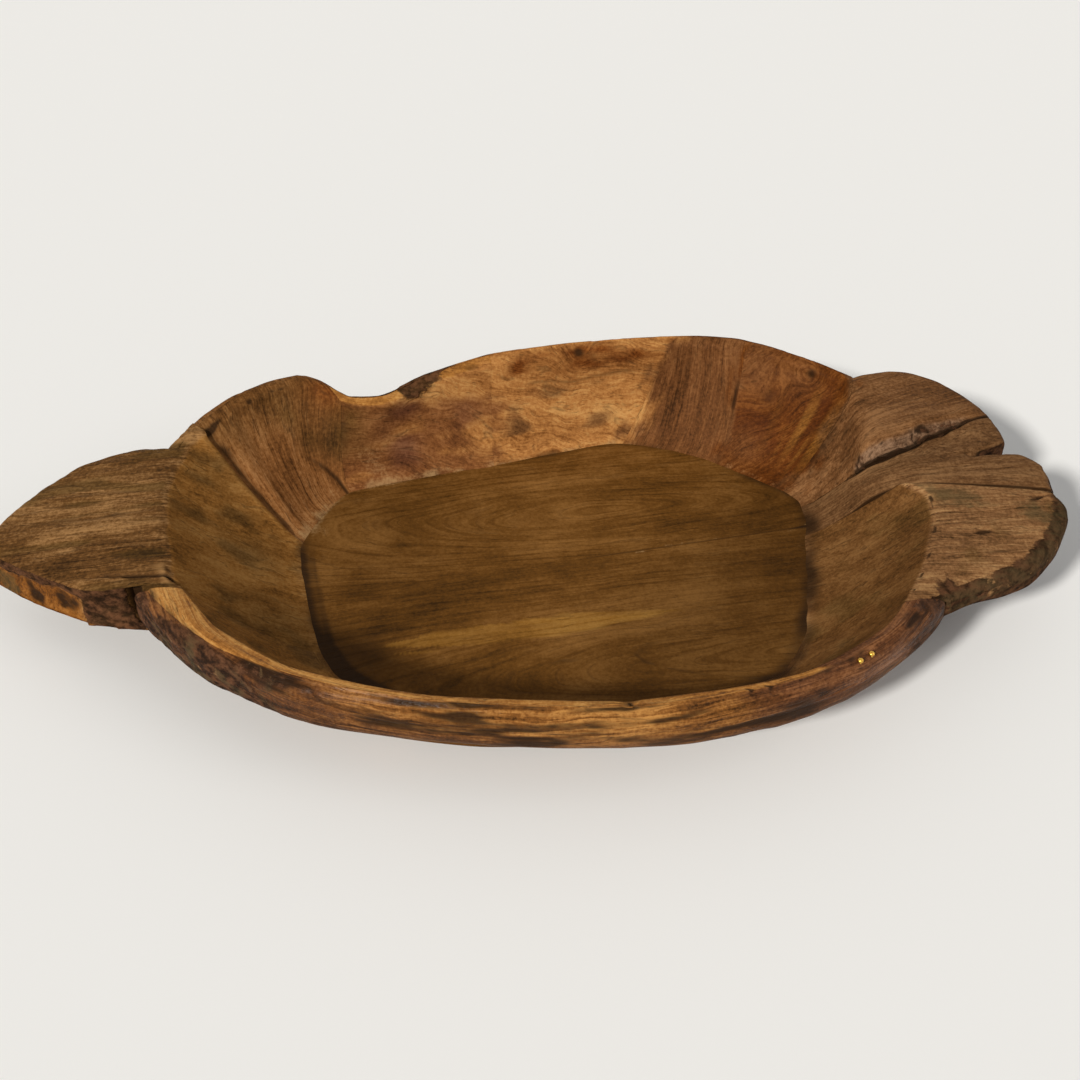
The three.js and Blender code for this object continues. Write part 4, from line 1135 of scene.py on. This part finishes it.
def carve_front_finger(s):
    """Handle top streaked along its length, with weathered patches, small checks and a dark bark edge."""
    top = s.zone(1.04, 1.9, 0.05)
    streaks = rough_noise(stretched(s.base, 60.0, 4.0, 40.0), 3, 81)
    s.push(top * 0.5 * streaks)
    dashes = patches(s.base, (20.0, 4.5, 30.0), 2, 84, 0.15, 0.5)
    s.mark("stain_and_shade", top * (0.25 * smoothstep(streaks, 0.25, 0.7) + 0.4 * dashes * s.stretch(0.3, 0.85, 0.1)))
    s.mark("calm", 0.4 * top)
    clouds = patches(s.base, 24.0, 2, 85, 0.0, 0.5)
    s.paint(0.6 * top * clouds, WEATHERED_AND_SHADE)
    s.mark("moss", top * (0.75 * s.stretch(0.8, 1.0, 0.08) * s.zone(RIDGE, 1.45, 0.15)))
    s.mark("moss", 0.8 * s.spot("tip_moss") + s.zone(1.85, 2.6, 0.1) * 0.6)
    s.mark("bark", s.zone(1.84, 3.6, 0.06) * (0.75 + 0.3 * rough_noise(s.base / 14.0, 2, 82)))
    s.cut(MIDDLE_CHECK, 1.8, 3.0)
    s.cut(TIP_CHECK, 1.8, 3.0)
    s.lift(11.0 * (1.0 - smoothstep(s.share, 0.12, 0.5)) * s.zone(2.55, 3.85, 0.3))
    dots = smoothstep(value_noise(s.base / 5.0, 83), 0.1, 0.5)
    s.mark("stain_and_shade", 0.9 * dots * bell(s.walk, 1.03, 0.03))
    s.mark("bark", 0.9 * s.spot("notch_bark"))
    worn_joint(s, s.from_end, 0.7, 1.6, 0.7, 0.6)
    smudged_wall(s, s.zone(FOOT, WALL_TOP, 0.05), RIGHT_WALL)
    return level_grain(s)


def rim_fray(s):
    """Noise that frays the borders of the front rim's woods, alike on both halves."""
    return 0.16 * rough_noise(s.base / 26.0, 3, 97)


def front_wall_wood(s):
    """The left wall's wood, which turns into the right wall's along the front."""
    share = smoothstep(s.base[..., 0] + 40.0 * rough_noise(s.base / 30.0, 2, 94), -60.0, 140.0)
    return LEFT_WALL + share[..., None, None] * (RIGHT_WALL - LEFT_WALL)


def carve_front(s):
    """Inner wall smooth; rim worn pale on top, with a rounded, dark, streaked and polished face outside."""
    s.mark("sap", s.zone(0.98, 1.5, 0.05) * (0.68 + 0.6 * s.streaks(36.0, 9.0, 91)))
    s.mark("polish", s.zone(1.1, 2.7, 0.15))
    dark = s.streaks(44.0, 5.5, 92, 4)
    s.push(-s.zone(1.7, LOW, 0.1) * 0.5 * smoothstep(dark, 0.1, 0.6))
    s.mark("stain_and_shade", s.zone(1.65, 3.1, 0.2) * (0.42 + 1.3 * dark))
    s.push(-2.5 * s.spot("joint_pit"))
    s.mark("stain_and_shade", 1.2 * s.spot("joint_stain"))
    inside = s.zone(FOOT, WALL_TOP, 0.03)
    smudged_wall(s, inside, front_wall_wood(s))
    rim = s.around, s.turn, 0.3 * s.around
    return [inside * level + (1.0 - inside) * round_rim for level, round_rim in zip(level_grain(s), rim)]


def carve_front_left(s):
    """The front wall's left half: a broad pale top, and bark and lichen beside the handle's notch."""
    ragged = rim_fray(s)
    rim = 0.9 * s.zone(RIDGE, 2.9, 0.15)
    # Where the bark begins on the rim
    inner = 1.93 - 0.22 * s.stretch(0.26, 0.6, 0.1) + 1.2 * ragged
    shore = smoothstep(s.walk, inner - 0.1, inner + 0.1) * (1.0 - smoothstep(s.walk, 3.0, 3.2))
    shore = shore * (1.0 - smoothstep(s.share + ragged, 0.25, 0.62))
    # Bark, lichen and pale specks
    s.mark("bark", shore * (0.75 + 0.4 * s.streaks(24.0, 12.0, 95)))
    s.mark("moss", shore * s.stretch(0.04, 0.42, 0.06) * (0.4 + 0.7 * rough_noise(s.base / 10.0, 2, 100)))
    s.mark("dust", 0.55 * shore * patches(s.base, 6.0, 2, 101, 0.2, 0.6))
    s.mark("polish", -shore)
    s.push(-shore * 0.7 * patches(s.base, 12.0, 2, 96, -0.1, 0.5))
    s.mark("sap", 0.75 * s.zone(0.98, 1.85, 0.06) * s.stretch(-0.2, 0.34, 0.12))
    open_split(s, s.from_start, 1.0)
    s.paint(rim * smoothstep(s.share + ragged, 0.35, 0.65), FRONT_GOLD)
    worn_joint(s, s.from_end, 0.3, 1.0, 0.5, RIDGE, 1.35)
    grain = carve_front(s)
    # painted shade in the front left corner of the wall
    s.paint(0.6 * s.spot("front_corner_shade"), WEATHERED_AND_SHADE)
    return grain


def carve_front_right(s):
    """The front wall's right half: a rounded tongue at the joint, a light band with dark tracks, and a lump
    of bark at the handle's notch."""
    s.push(0.9 * bell(s.from_start, 7.0, 6.0) * s.zone(1.05, 1.9, 0.1))
    ragged = rim_fray(s)
    rim = 0.9 * s.zone(RIDGE, 2.9, 0.15)
    s.paint(rim * (1.0 - smoothstep(s.share + ragged, 0.17, 0.4)), FRONT_GOLD)
    s.paint(0.9 * s.zone(RIDGE, 1.6, 0.1) * s.stretch(-0.2, 0.5, 0.12), FRONT_GOLD)
    for track in RIM_TRACKS:
        s.cut(track, 1.5, 0.8)
    s.paint(rim * smoothstep(s.share + ragged, 0.35, 0.55), RIGHT_RIM)
    s.mark("bark", s.zone(EDGE, 3.1, 0.1) * s.stretch(0.8, 1.2, 0.1) * 0.7)
    s.mark("sap", -0.5 * s.stretch(0.6, 1.2, 0.15) * s.zone(0.9, EDGE))
    s.mark("bark", 0.6 * s.stretch(0.93, 1.2, 0.04) * s.zone(1.3, EDGE))
    s.push(1.5 * s.spot("notch_lump"))
    worn_joint(s, s.from_start, 0.3, 1.0, 0.5, RIDGE, 1.35)
    # painted light: less stain lightens the right part of the outer face
    s.mark("stain_and_shade", -0.35 * s.zone(1.8, 3.1, 0.2) * smoothstep(s.share, 0.2, 0.4))
    rugged = patches(s.base, (16.0, 16.0, 9.0), 3, 93, 0.0, 0.5)
    s.mark("stain_and_shade", 0.5 * rugged * s.stretch(0.5, 1.2, 0.1) * s.zone(1.1, 2.4, 0.1))
    s.push(-0.5 * rugged * s.stretch(0.5, 1.2, 0.1) * s.zone(1.1, 2.4, 0.1))
    return carve_front(s)


# Block: joints, slot, wood and carving; steps over its top; and, from its start to its end, the rounding of
# its ridge, lip and lower edge and the roughness of its outside
BLOCKS = {
    "right_handle_front_finger": dict(
        joints=("right_front", "lower_split"), slot="handle_wood",
        wood=FRONT_FINGER, carve=carve_front_finger,
        top=HANDLE_STEPS, ridge=(5.0, 7.0), lip=(12.0, 9.0), under=(11.0, 7.0), rough=(0.5, 1.0),
    ),
    "right_handle_middle_finger": dict(
        joints=("lower_split", "upper_split"), slot="handle_wood",
        wood=MIDDLE_FINGER, carve=carve_middle_finger,
        top=HANDLE_STEPS, ridge=(34.0, 34.0), lip=(8.0, 8.0), under=(7.0, 7.0),
    ),
    "right_handle_back_finger": dict(
        joints=("upper_split", "right_back"), slot="handle_wood",
        wood=BACK_FINGER, carve=carve_back_finger,
        top=HANDLE_STEPS, ridge=(16.0, 9.0), lip=(8.0, 9.0), under=(7.0, 9.0),
    ),
    "back_right_corner_block": dict(
        joints=("right_back", "back_right"), slot="red_wood",
        wood=RIGHT_CORNER, carve=carve_back_right_corner,
        ridge=(9.0, 9.0), mottle=0.6,
    ),
    "back_right_block": dict(
        joints=("back_right", "back_middle_right"), slot="red_wood",
        wood=BACK_RIGHT, carve=carve_back_right,
        ridge=(9.0, 9.0),
    ),
    "back_centre_block": dict(
        joints=("back_middle_right", "back_middle_left"), slot="sap_wood",
        wood=GOLD, carve=carve_back_centre,
        ridge=(9.0, 8.0), mottle=0.7,
    ),
    "back_left_block": dict(
        joints=("back_middle_left", "back_left"), slot="red_wood",
        wood=BACK_LEFT, carve=carve_back_left,
        ridge=(8.0, 6.0), mottle=0.7,
    ),
    "back_left_corner_block": dict(
        joints=("back_left", "left_back"), slot="red_wood",
        wood=LEFT_CORNER, carve=carve_back_left_corner,
        ridge=(6.0, 8.0),
    ),
    "left_handle_block": dict(
        joints=("left_back", "left_front"), slot="handle_wood",
        wood=LEFT_HANDLE, carve=carve_left_handle,
        top=HANDLE_STEPS, ridge=(7.0, 6.0), lip=(7.0, 6.0), under=(7.0, 5.0), mottle=0.5,
    ),
    "front_left_block": dict(
        joints=("left_front", "front_middle"), slot="front_wood",
        wood=FRONT_RIM, carve=carve_front_left,
        ridge=(5.0, 5.0), lip=(10.0, 13.0), under=(8.0, 11.0), rough=(0.6, 0.3),
    ),
    "front_right_block": dict(
        joints=("front_middle", "right_front"), slot="front_wood",
        wood=FRONT_RIM, carve=carve_front_right,
        ridge=(5.0, 5.0), lip=(13.0, 12.0), under=(11.0, 11.0), rough=(0.3, 0.5),
    ),
}
# Joints whose two woods run into each other: over what width, the streaks' lengths along and round the wall,
# and how far up the walk
RUNNING_JOINTS = {
    "right_back": (9.0, 8.0, 30.0, LOW),
    "back_right": (8.0, 8.0, 30.0, LOW),
    "back_middle_right": (12.0, 8.0, 30.0, LOW),
    "back_middle_left": (24.0, 40.0, 8.0, 0.62),
}
STARTS = {plan["joints"][0]: plan for plan in BLOCKS.values()}
ENDS = {plan["joints"][1]: plan for plan in BLOCKS.values()}


def run_woods_together(s, plan):
    """Frays the wood's tones into the neighbours' at the running joints: the same noise shifts the border on
    both sides, so that the tones meet at the joint."""
    start, end = plan["joints"]
    for joint, gap, side, neighbours in ((start, s.from_start, 1.0, ENDS), (end, s.from_end, -1.0, STARTS)):
        if joint in RUNNING_JOINTS:
            width, along, around, top = RUNNING_JOINTS[joint]
            fray = rough_noise(plane(side * gap / along, s.around / around), 3, 98)
            fray = fray + rough_noise(s.base / 15.0, 2, 99)
            share = 1.0 - smoothstep(gap + 1.5 * side * width * fray, -width, width)
            s.paint(share * s.zone(FOOT, top, 0.1), neighbours[joint]["wood"])


def add_block(node, plan, material):
    """A wall block: its section, aged and carved, as a wooden piece."""
    s = Section(plan)
    age_block(s, plan)
    grain = plan["carve"](s)
    run_woods_together(s, plan)
    wooden_piece(node, s.points, grain, s.wood, s.masks, material)


# Floor boards

FLOOR_RAYS = 320
FLOOR_TOP_STEPS = 90
FLOOR_EDGE_STEPS = 10
OUTLINE_STEPS = 1440
FLOOR_TILT = math.radians(3.5)  # of the boards' grain against the bowl's length
# Eyes of the boards' grain: place along and across it, and slimness of the ovals
BACK_EYE = ((66.0, 74.0), 0.17)
FRONT_EYE = ((175.0, -97.0), 0.14)
FLAME_START = (-112.0, -60.0)
FLAME_TIP = (114.0, -39.0)
FLAME_HALF_WIDTH = 11.0
FLAME_STRENGTH = 0.85
FLAME_TAPER = 0.4  # share of the flame's length over which it narrows to its tip
# Spots of dust on the floor, and the painted shade in its front left corner: x, y, size and amount
FLOOR_DUST = [(-150.0, 70.0, 9.0, 0.5), (200.0, 22.0, 8.0, 0.4)]
FLOOR_CORNER_SHADE = (-124.0, -70.0, 42.0, 0.55)
# Dark veins in the front board: path seen from above, width and strength
FLOOR_VEINS = [
    ([(104, -66), (76, -72), (64, -81), (69, -90), (83, -97), (115, -107), (150, -112)], 2.4, 0.55),
    ([(2, -87), (16, -84), (30, -83)], 3.0, 0.5),
    ([(10, -61), (28, -57), (56, -51), (80, -47)], 2.2, 0.45),
]
FLOOR_WOOD = wood_tones((55, 34, 9), (101, 65, 24), (137, 95, 47))
FLAME_WOOD = wood_tones((94, 62, 18), (140, 96, 38), (164, 120, 58))
FLOOR_FRONT_RIGHT_SHADE = 0.7  # painted shade: tone of the front right of the floor
FLOOR_LEFT_END_SHADE = 0.16  # painted shade: what the tone of the floor's left end loses


def outline_round(centre, inset):
    """The floor plate's outline at an inset, as angle and radius about a centre."""
    angle = np.linspace(0.0, 2 * math.pi, OUTLINE_STEPS, endpoint=False)
    edge = polar(angle, FLOOR.radius(angle) + WALL_FOOT - inset, 0.0)[:, :2] - centre
    turn = np.unwrap(np.arctan2(edge[:, 1], edge[:, 0]))
    return turn, np.linalg.norm(edge, axis=1)


def board_grid(side):
    """Half a plate: rays fan out from a point on the joint line, each a loop along the top, down the sloping
    edge over its knee and back along the underside."""
    across = np.array([-math.sin(JOINT_ANGLE), math.cos(JOINT_ANGLE)])
    centre = across * (JOINT_OFFSET + side * TIGHT_JOINT / 2)
    turn = JOINT_ANGLE + np.linspace(0.0, math.pi, FLOOR_RAYS + 1) + (0.0 if side > 0 else math.pi)
    insets = (0.0, KNEE_INSET, BASE_INSET)
    top, knee, base = (np.interp(turn, *outline_round(centre, inset), period=2 * math.pi) for inset in insets)
    out = np.linspace(0.0, 1.0, FLOOR_TOP_STEPS)
    drop = np.linspace(0.0, 1.0, FLOOR_EDGE_STEPS + 1)[1:]
    reach = [
        np.outer(top, out),
        top[:, None] + np.outer(knee - top, drop),
        knee[:, None] + np.outer(base - knee, drop),
        np.outer(base, out[-2::-1]),
    ]
    height = [
        np.full(FLOOR_TOP_STEPS, FLOOR_THICKNESS),
        FLOOR_THICKNESS + (KNEE_HEIGHT - FLOOR_THICKNESS) * drop,
        KNEE_HEIGHT * (1.0 - drop),
        np.zeros(FLOOR_TOP_STEPS - 1),
    ]
    grid = polar(turn[:, None], np.hstack(reach), np.concatenate(height)[None, :])
    return grid + np.array([*centre, 0.0])


def oval(a, b, centre, slimness):
    """Distance from a centre, cut along the grain by the slimness, so that its levels are long ovals."""
    return np.hypot((a - centre[0]) * slimness, b - centre[1])


def floor_grain(points, side):
    """Grain coordinates of a floor board: the nested ovals of a flat-sawn board round an eye, straight far
    from it and swaying by noise."""
    x, y = points[..., 0], points[..., 1]
    a = x * math.cos(FLOOR_TILT) + y * math.sin(FLOOR_TILT)
    b = y * math.cos(FLOOR_TILT) - x * math.sin(FLOOR_TILT)
    ring = oval(a, b, *(BACK_EYE if side > 0 else FRONT_EYE))
    return ring + 3.0 * value_noise(stretched(points, 90.0, 16.0, 50.0), 201), a, points[..., 2]


def pale_flame(points):
    """The pale flame in the front board: a streaky strip that narrows to a tip on the right and frays at its
    left."""
    start, tip = np.array(FLAME_START), np.array(FLAME_TIP)
    way = (tip - start) / np.linalg.norm(tip - start)
    offset = points[..., :2] - start
    along = offset @ way / np.linalg.norm(tip - start)
    across = offset[..., 1] * way[0] - offset[..., 0] * way[1]
    fray = rough_noise(stretched(points, 30.0, 3.2, 10.0), 2, 204)
    left = np.clip(1.0 - along, 0.0, 1.0)
    half = FLAME_HALF_WIDTH * np.minimum(left / FLAME_TAPER, 1.0) * smoothstep(along + 0.1 * fray, 0.0, 0.22)
    streaks = 0.8 + 0.6 * rough_noise(stretched(points, 36.0, 3.4, 10.0), 2, 205)
    depth = half - np.abs(across) + (0.5 + 9.0 * left) * fray
    strip = smoothstep(depth, 0.0, 3.0) * smoothstep(along, -0.1, 0.05)
    return np.clip(FLAME_STRENGTH * strip * streaks, 0.0, 1.0)


def wall_gap(points):
    """Level distance from the line where the walls meet the floor, inwards."""
    x, y = points[..., 0], points[..., 1]
    return FLOOR.radius(np.arctan2(y, x)) - np.hypot(x, y)


def floor_masks(points):
    """Dust and darker wood along the wall, a second dark line along the left end, painted shade in the front
    left corner, dark veins and the joint line."""
    x, y = points[..., 0], points[..., 1]
    gap = wall_gap(points)
    shown = smoothstep(points[..., 2], FLOOR_THICKNESS - 1.0, FLOOR_THICKNESS)
    back = smoothstep(y, 20.0, 90.0) * (0.4 + 0.6 * smoothstep(-x, -60.0, 60.0))
    uneven = 0.5 + 0.5 * rough_noise(points / 30.0, 2, 202)
    dust = back * (1.0 - smoothstep(gap, 4.0, 11.0)) * uneven
    for dust_x, dust_y, size, amount in FLOOR_DUST:
        dust = dust + amount * bell(np.hypot(x - dust_x, y - dust_y), 0.0, size)
    ends = (1.0 - back) * (0.3 + 0.6 * uneven) * (1.0 - 0.5 * smoothstep(x, 60.0, 140.0))
    stain_and_shade = ends * bell(gap, 4.0, 7.0) + 0.6 * ends * bell(gap, 14.0, 2.5) * smoothstep(-x, 60.0, 120.0)
    # darker along the wall, more towards both ends
    foot_darkening = 0.3 + 0.35 * smoothstep(np.abs(x - 20.0), 110.0, 150.0)
    stain_and_shade = stain_and_shade + foot_darkening * (1.0 - smoothstep(gap, 2.0, 24.0)) * uneven
    # painted shade: a dark patch in the front left corner of the floor
    shade_x, shade_y, size, amount = FLOOR_CORNER_SHADE
    stain_and_shade = stain_and_shade + amount * bell(np.hypot(x - shade_x, y - shade_y), 0.0, size)
    for path, width, strength in FLOOR_VEINS:
        vein, share = path_gap(points, path)
        vein = vein + 2.0 * rough_noise(stretched(points, 20.0, 5.0, 10.0), 2, 207)
        stain_and_shade = stain_and_shade + strength * bell(vein, 0.0, width) * np.sqrt(np.sin(math.pi * share))
    joint = np.abs(y * math.cos(JOINT_ANGLE) - x * math.sin(JOINT_ANGLE) - JOINT_OFFSET)
    seen = smoothstep(x, 10.0, 60.0)
    stain_and_shade = stain_and_shade + 0.6 * bell(joint, 0.0, 1.2) * seen
    dust = dust + 0.8 * bell(joint, 1.5, 1.2) * seen * patches(points, 5.0, 1, 206, 0.1, 0.6)
    return {"dust": dust * shown, "stain_and_shade": stain_and_shade * shown, "calm": 0.55, "mottle": 0.5, "veined": 0.25}


def add_floor_board(node, side, material):
    """A floor board whose top is worn into shallow hollows by noise, level again along the walls."""
    grid = board_grid(side)
    grain, masks = floor_grain(grid, side), floor_masks(grid)
    shown = smoothstep(grid[..., 2], FLOOR_THICKNESS - 0.5, FLOOR_THICKNESS)
    flame = shown * (pale_flame(grid) if side < 0 else 0.0)
    # painted shade: the floor's tone lowered towards the front right and the left end
    painted_shade = FLOOR_FRONT_RIGHT_SHADE + (1.0 - FLOOR_FRONT_RIGHT_SHADE) * (1.0 - smoothstep(grid[..., 0] - 0.8 * grid[..., 1], 20.0, 170.0))
    painted_shade = painted_shade * (1.0 - FLOOR_LEFT_END_SHADE * smoothstep(-grid[..., 0], 10.0, 110.0))
    wood = painted_shade[..., None, None] * FLOOR_WOOD + flame[..., None, None] * (FLAME_WOOD - FLOOR_WOOD)
    hollow = 0.4 * value_noise(stretched(grid, 80.0, 50.0, 80.0), 203) - 0.4
    grid[..., 2] += hollow * shown * smoothstep(wall_gap(grid), 3.0, 16.0)
    wooden_piece(node, grid, grain, wood, masks, material)


# Brass pins

# Radii of a pin's head, shank and point, and its lengths
PIN_HEAD = 1.9
PIN_SHANK = 0.9
PIN_POINT = 0.3
PIN_POINT_LENGTH = 1.5
PIN_HEAD_HEIGHT = 1.6
PIN_HEAD_RIM = 0.2
PIN_LENGTH = 14.0
PIN_SINK = 1.0  # of the head's seat below the rim
PIN_ANGLES = (318.2, 320.4)  # degrees round the bowl
PIN_RIM_SHARE = 0.7  # of the way from the ridge to the outer edge
PIN_SIDES = 32
DOME_STEPS = 14
DOME_END = 0.94  # share of a quarter turn where the dome's small flat top begins


def add_pin(node, degrees, material):
    """A pin: circles carried along a shank, out to the head's rim and over its dome, a quarter ellipse."""
    angle = np.radians(np.array([degrees]))
    ridge = polar(angle, RIDGE_TOP.radius(angle), RIDGE_TOP.height(angle))[0]
    edge = polar(angle, *outer_edge(angle)[:2])[0]
    seat = ridge + PIN_RIM_SHARE * (edge - ridge)
    seat[2] += RIM_CROWN * math.sin(math.pi * PIN_RIM_SHARE) - PIN_SINK
    dome = np.linspace(0.0, DOME_END * math.pi / 2, DOME_STEPS)
    radius = np.concatenate([[PIN_POINT, PIN_SHANK, PIN_SHANK, PIN_HEAD], PIN_HEAD * np.cos(dome)])
    rise = PIN_HEAD_RIM + (PIN_HEAD_HEIGHT - PIN_HEAD_RIM) * np.sin(dome)
    height = np.concatenate([[-PIN_LENGTH, -PIN_LENGTH + PIN_POINT_LENGTH, 0.0, 0.0], rise])
    turn = np.linspace(0.0, 2 * math.pi, PIN_SIDES, endpoint=False)
    grid = polar(turn[None, :] + 0 * radius[:, None], radius[:, None] + 0 * turn, height[:, None]) + seat
    dress(closed_solid(f"{node}_turned", grid, {}), node, material)


def dress_dowels():
    """The hidden dowels stay as the CAD made them, in plain dowel wood."""
    material = dowel_wood("dowel_wood")
    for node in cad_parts:
        if "dowel" in node:
            for slot in bpy.data.objects[node].material_slots:
                slot.material = material


# Camera, light and stage

CAMERA_PLACE = Vector((-0.0597, -0.7591, 0.6756))
CAMERA_TARGET = Vector((0.006, -0.008, 0.065))
CAMERA_ANGLE = math.radians(42.0)
LAMP_TARGET = Vector((0.0, 0.0, 0.05))
LAMP_DISTANCE = 3.0
LAMPS = {
    "key": dict(bearing=228.0, height=34.0, softness=6.0, power=3.1, colour=(1.0, 0.97, 0.92)),
    "fill": dict(bearing=328.0, height=42.0, softness=40.0, power=0.45, colour=(1.0, 0.98, 0.96)),
}
STAGE_RADIUS = 9000.0
STAGE_SIDES = 96
STAGE_LEVEL = -0.3  # just clear of the bowl's underside
STAGE_COLOUR = (0.88, 0.88, 0.87, 1.0)
STAGE_ROUGHNESS = 0.95
WORLD_COLOUR = (1.0, 0.99, 0.97, 1.0)
WORLD_STRENGTH = 0.3
BACKDROP_STRENGTH = 0.8  # of the world where the camera, a reflection or glass sees it


def aim(thing, place, target):
    """Puts a camera or lamp in the scene, turned towards a target."""
    thing.location = place
    thing.rotation_euler = (target - place).to_track_quat("-Z", "Y").to_euler()
    bpy.context.scene.collection.objects.link(thing)


def add_camera():
    data = bpy.data.cameras.new("camera")
    data.sensor_fit = "HORIZONTAL"
    data.angle = CAMERA_ANGLE
    camera = bpy.data.objects.new("camera", data)
    aim(camera, CAMERA_PLACE, CAMERA_TARGET)
    bpy.context.scene.camera = camera


def add_lamp(name, bearing, height, softness, power, colour):
    """A far, soft lamp: its bearing round the bowl, its height and its width, all in degrees."""
    data = bpy.data.lights.new(name, "SUN")
    data.angle = math.radians(softness)
    data.energy = power
    data.color = colour
    turn, rise = math.radians(bearing), math.radians(height)
    way = Vector((math.cos(rise) * math.cos(turn), math.cos(rise) * math.sin(turn), math.sin(rise)))
    aim(bpy.data.objects.new(name, data), LAMP_TARGET + LAMP_DISTANCE * way, LAMP_TARGET)


def add_world():
    """A pale world that lights the bowl softly and shows paler behind it."""
    world = bpy.data.worlds.new("studio_world")
    world.use_nodes = True
    nodes, links = world.node_tree.nodes, world.node_tree.links
    sky = nodes["Background"]
    sky.inputs["Color"].default_value = WORLD_COLOUR
    seen = nodes.new("ShaderNodeLightPath").outputs
    strength = nodes.new("ShaderNodeMapRange")
    strength.inputs["To Min"].default_value = WORLD_STRENGTH
    strength.inputs["To Max"].default_value = BACKDROP_STRENGTH
    shown = seen["Is Camera Ray"]
    for ray in ("Is Glossy Ray", "Is Transmission Ray"):
        either = nodes.new("ShaderNodeMath")
        either.operation = "MAXIMUM"
        links.new(shown, either.inputs[0])
        links.new(seen[ray], either.inputs[1])
        shown = either.outputs[0]
    links.new(shown, strength.inputs["Value"])
    links.new(strength.outputs["Result"], sky.inputs["Strength"])
    bpy.context.scene.world = world


def add_stage():
    """A pale floor disc under the bowl, a key lamp and a fill."""
    angle = np.linspace(0.0, 2 * math.pi, STAGE_SIDES, endpoint=False)
    ring = polar(angle, np.full_like(angle, STAGE_RADIUS), STAGE_LEVEL) * MM
    mesh = bpy.data.meshes.new("studio_floor")
    mesh.from_pydata(ring.tolist(), [], [tuple(range(STAGE_SIDES))])
    floor = bpy.data.objects.new("studio_floor", mesh)
    bpy.context.scene.collection.objects.link(floor)
    g = Graph("studio_paper")
    g.shader.inputs["Base Color"].default_value = STAGE_COLOUR
    g.shader.inputs["Roughness"].default_value = STAGE_ROUGHNESS
    mesh.materials.append(g.material)
    for lamp, settings in LAMPS.items():
        add_lamp(lamp, **settings)


add_camera()
add_world()
add_stage()
wall_material = carved_wood("carved_wall_wood", **WALL_FINISH)
front_material = carved_wood("polished_front_wood", **FRONT_FINISH)
for block_name, block_plan in BLOCKS.items():
    is_front = block_plan["slot"] == "front_wood"
    add_block(block_name, block_plan, front_material if is_front else wall_material)
floor_material = carved_wood("floor_board_wood", **FLOOR_FINISH)
add_floor_board("floor_board_front", -1, floor_material)
add_floor_board("floor_board_back", 1, floor_material)
pin_material = brass("pin_brass")
for order, pin_angle in enumerate(PIN_ANGLES):
    add_pin(f"brass_pin_{order + 1}", pin_angle, pin_material)
dress_dowels()

bpy.context.scene.view_settings.view_transform = "Standard"
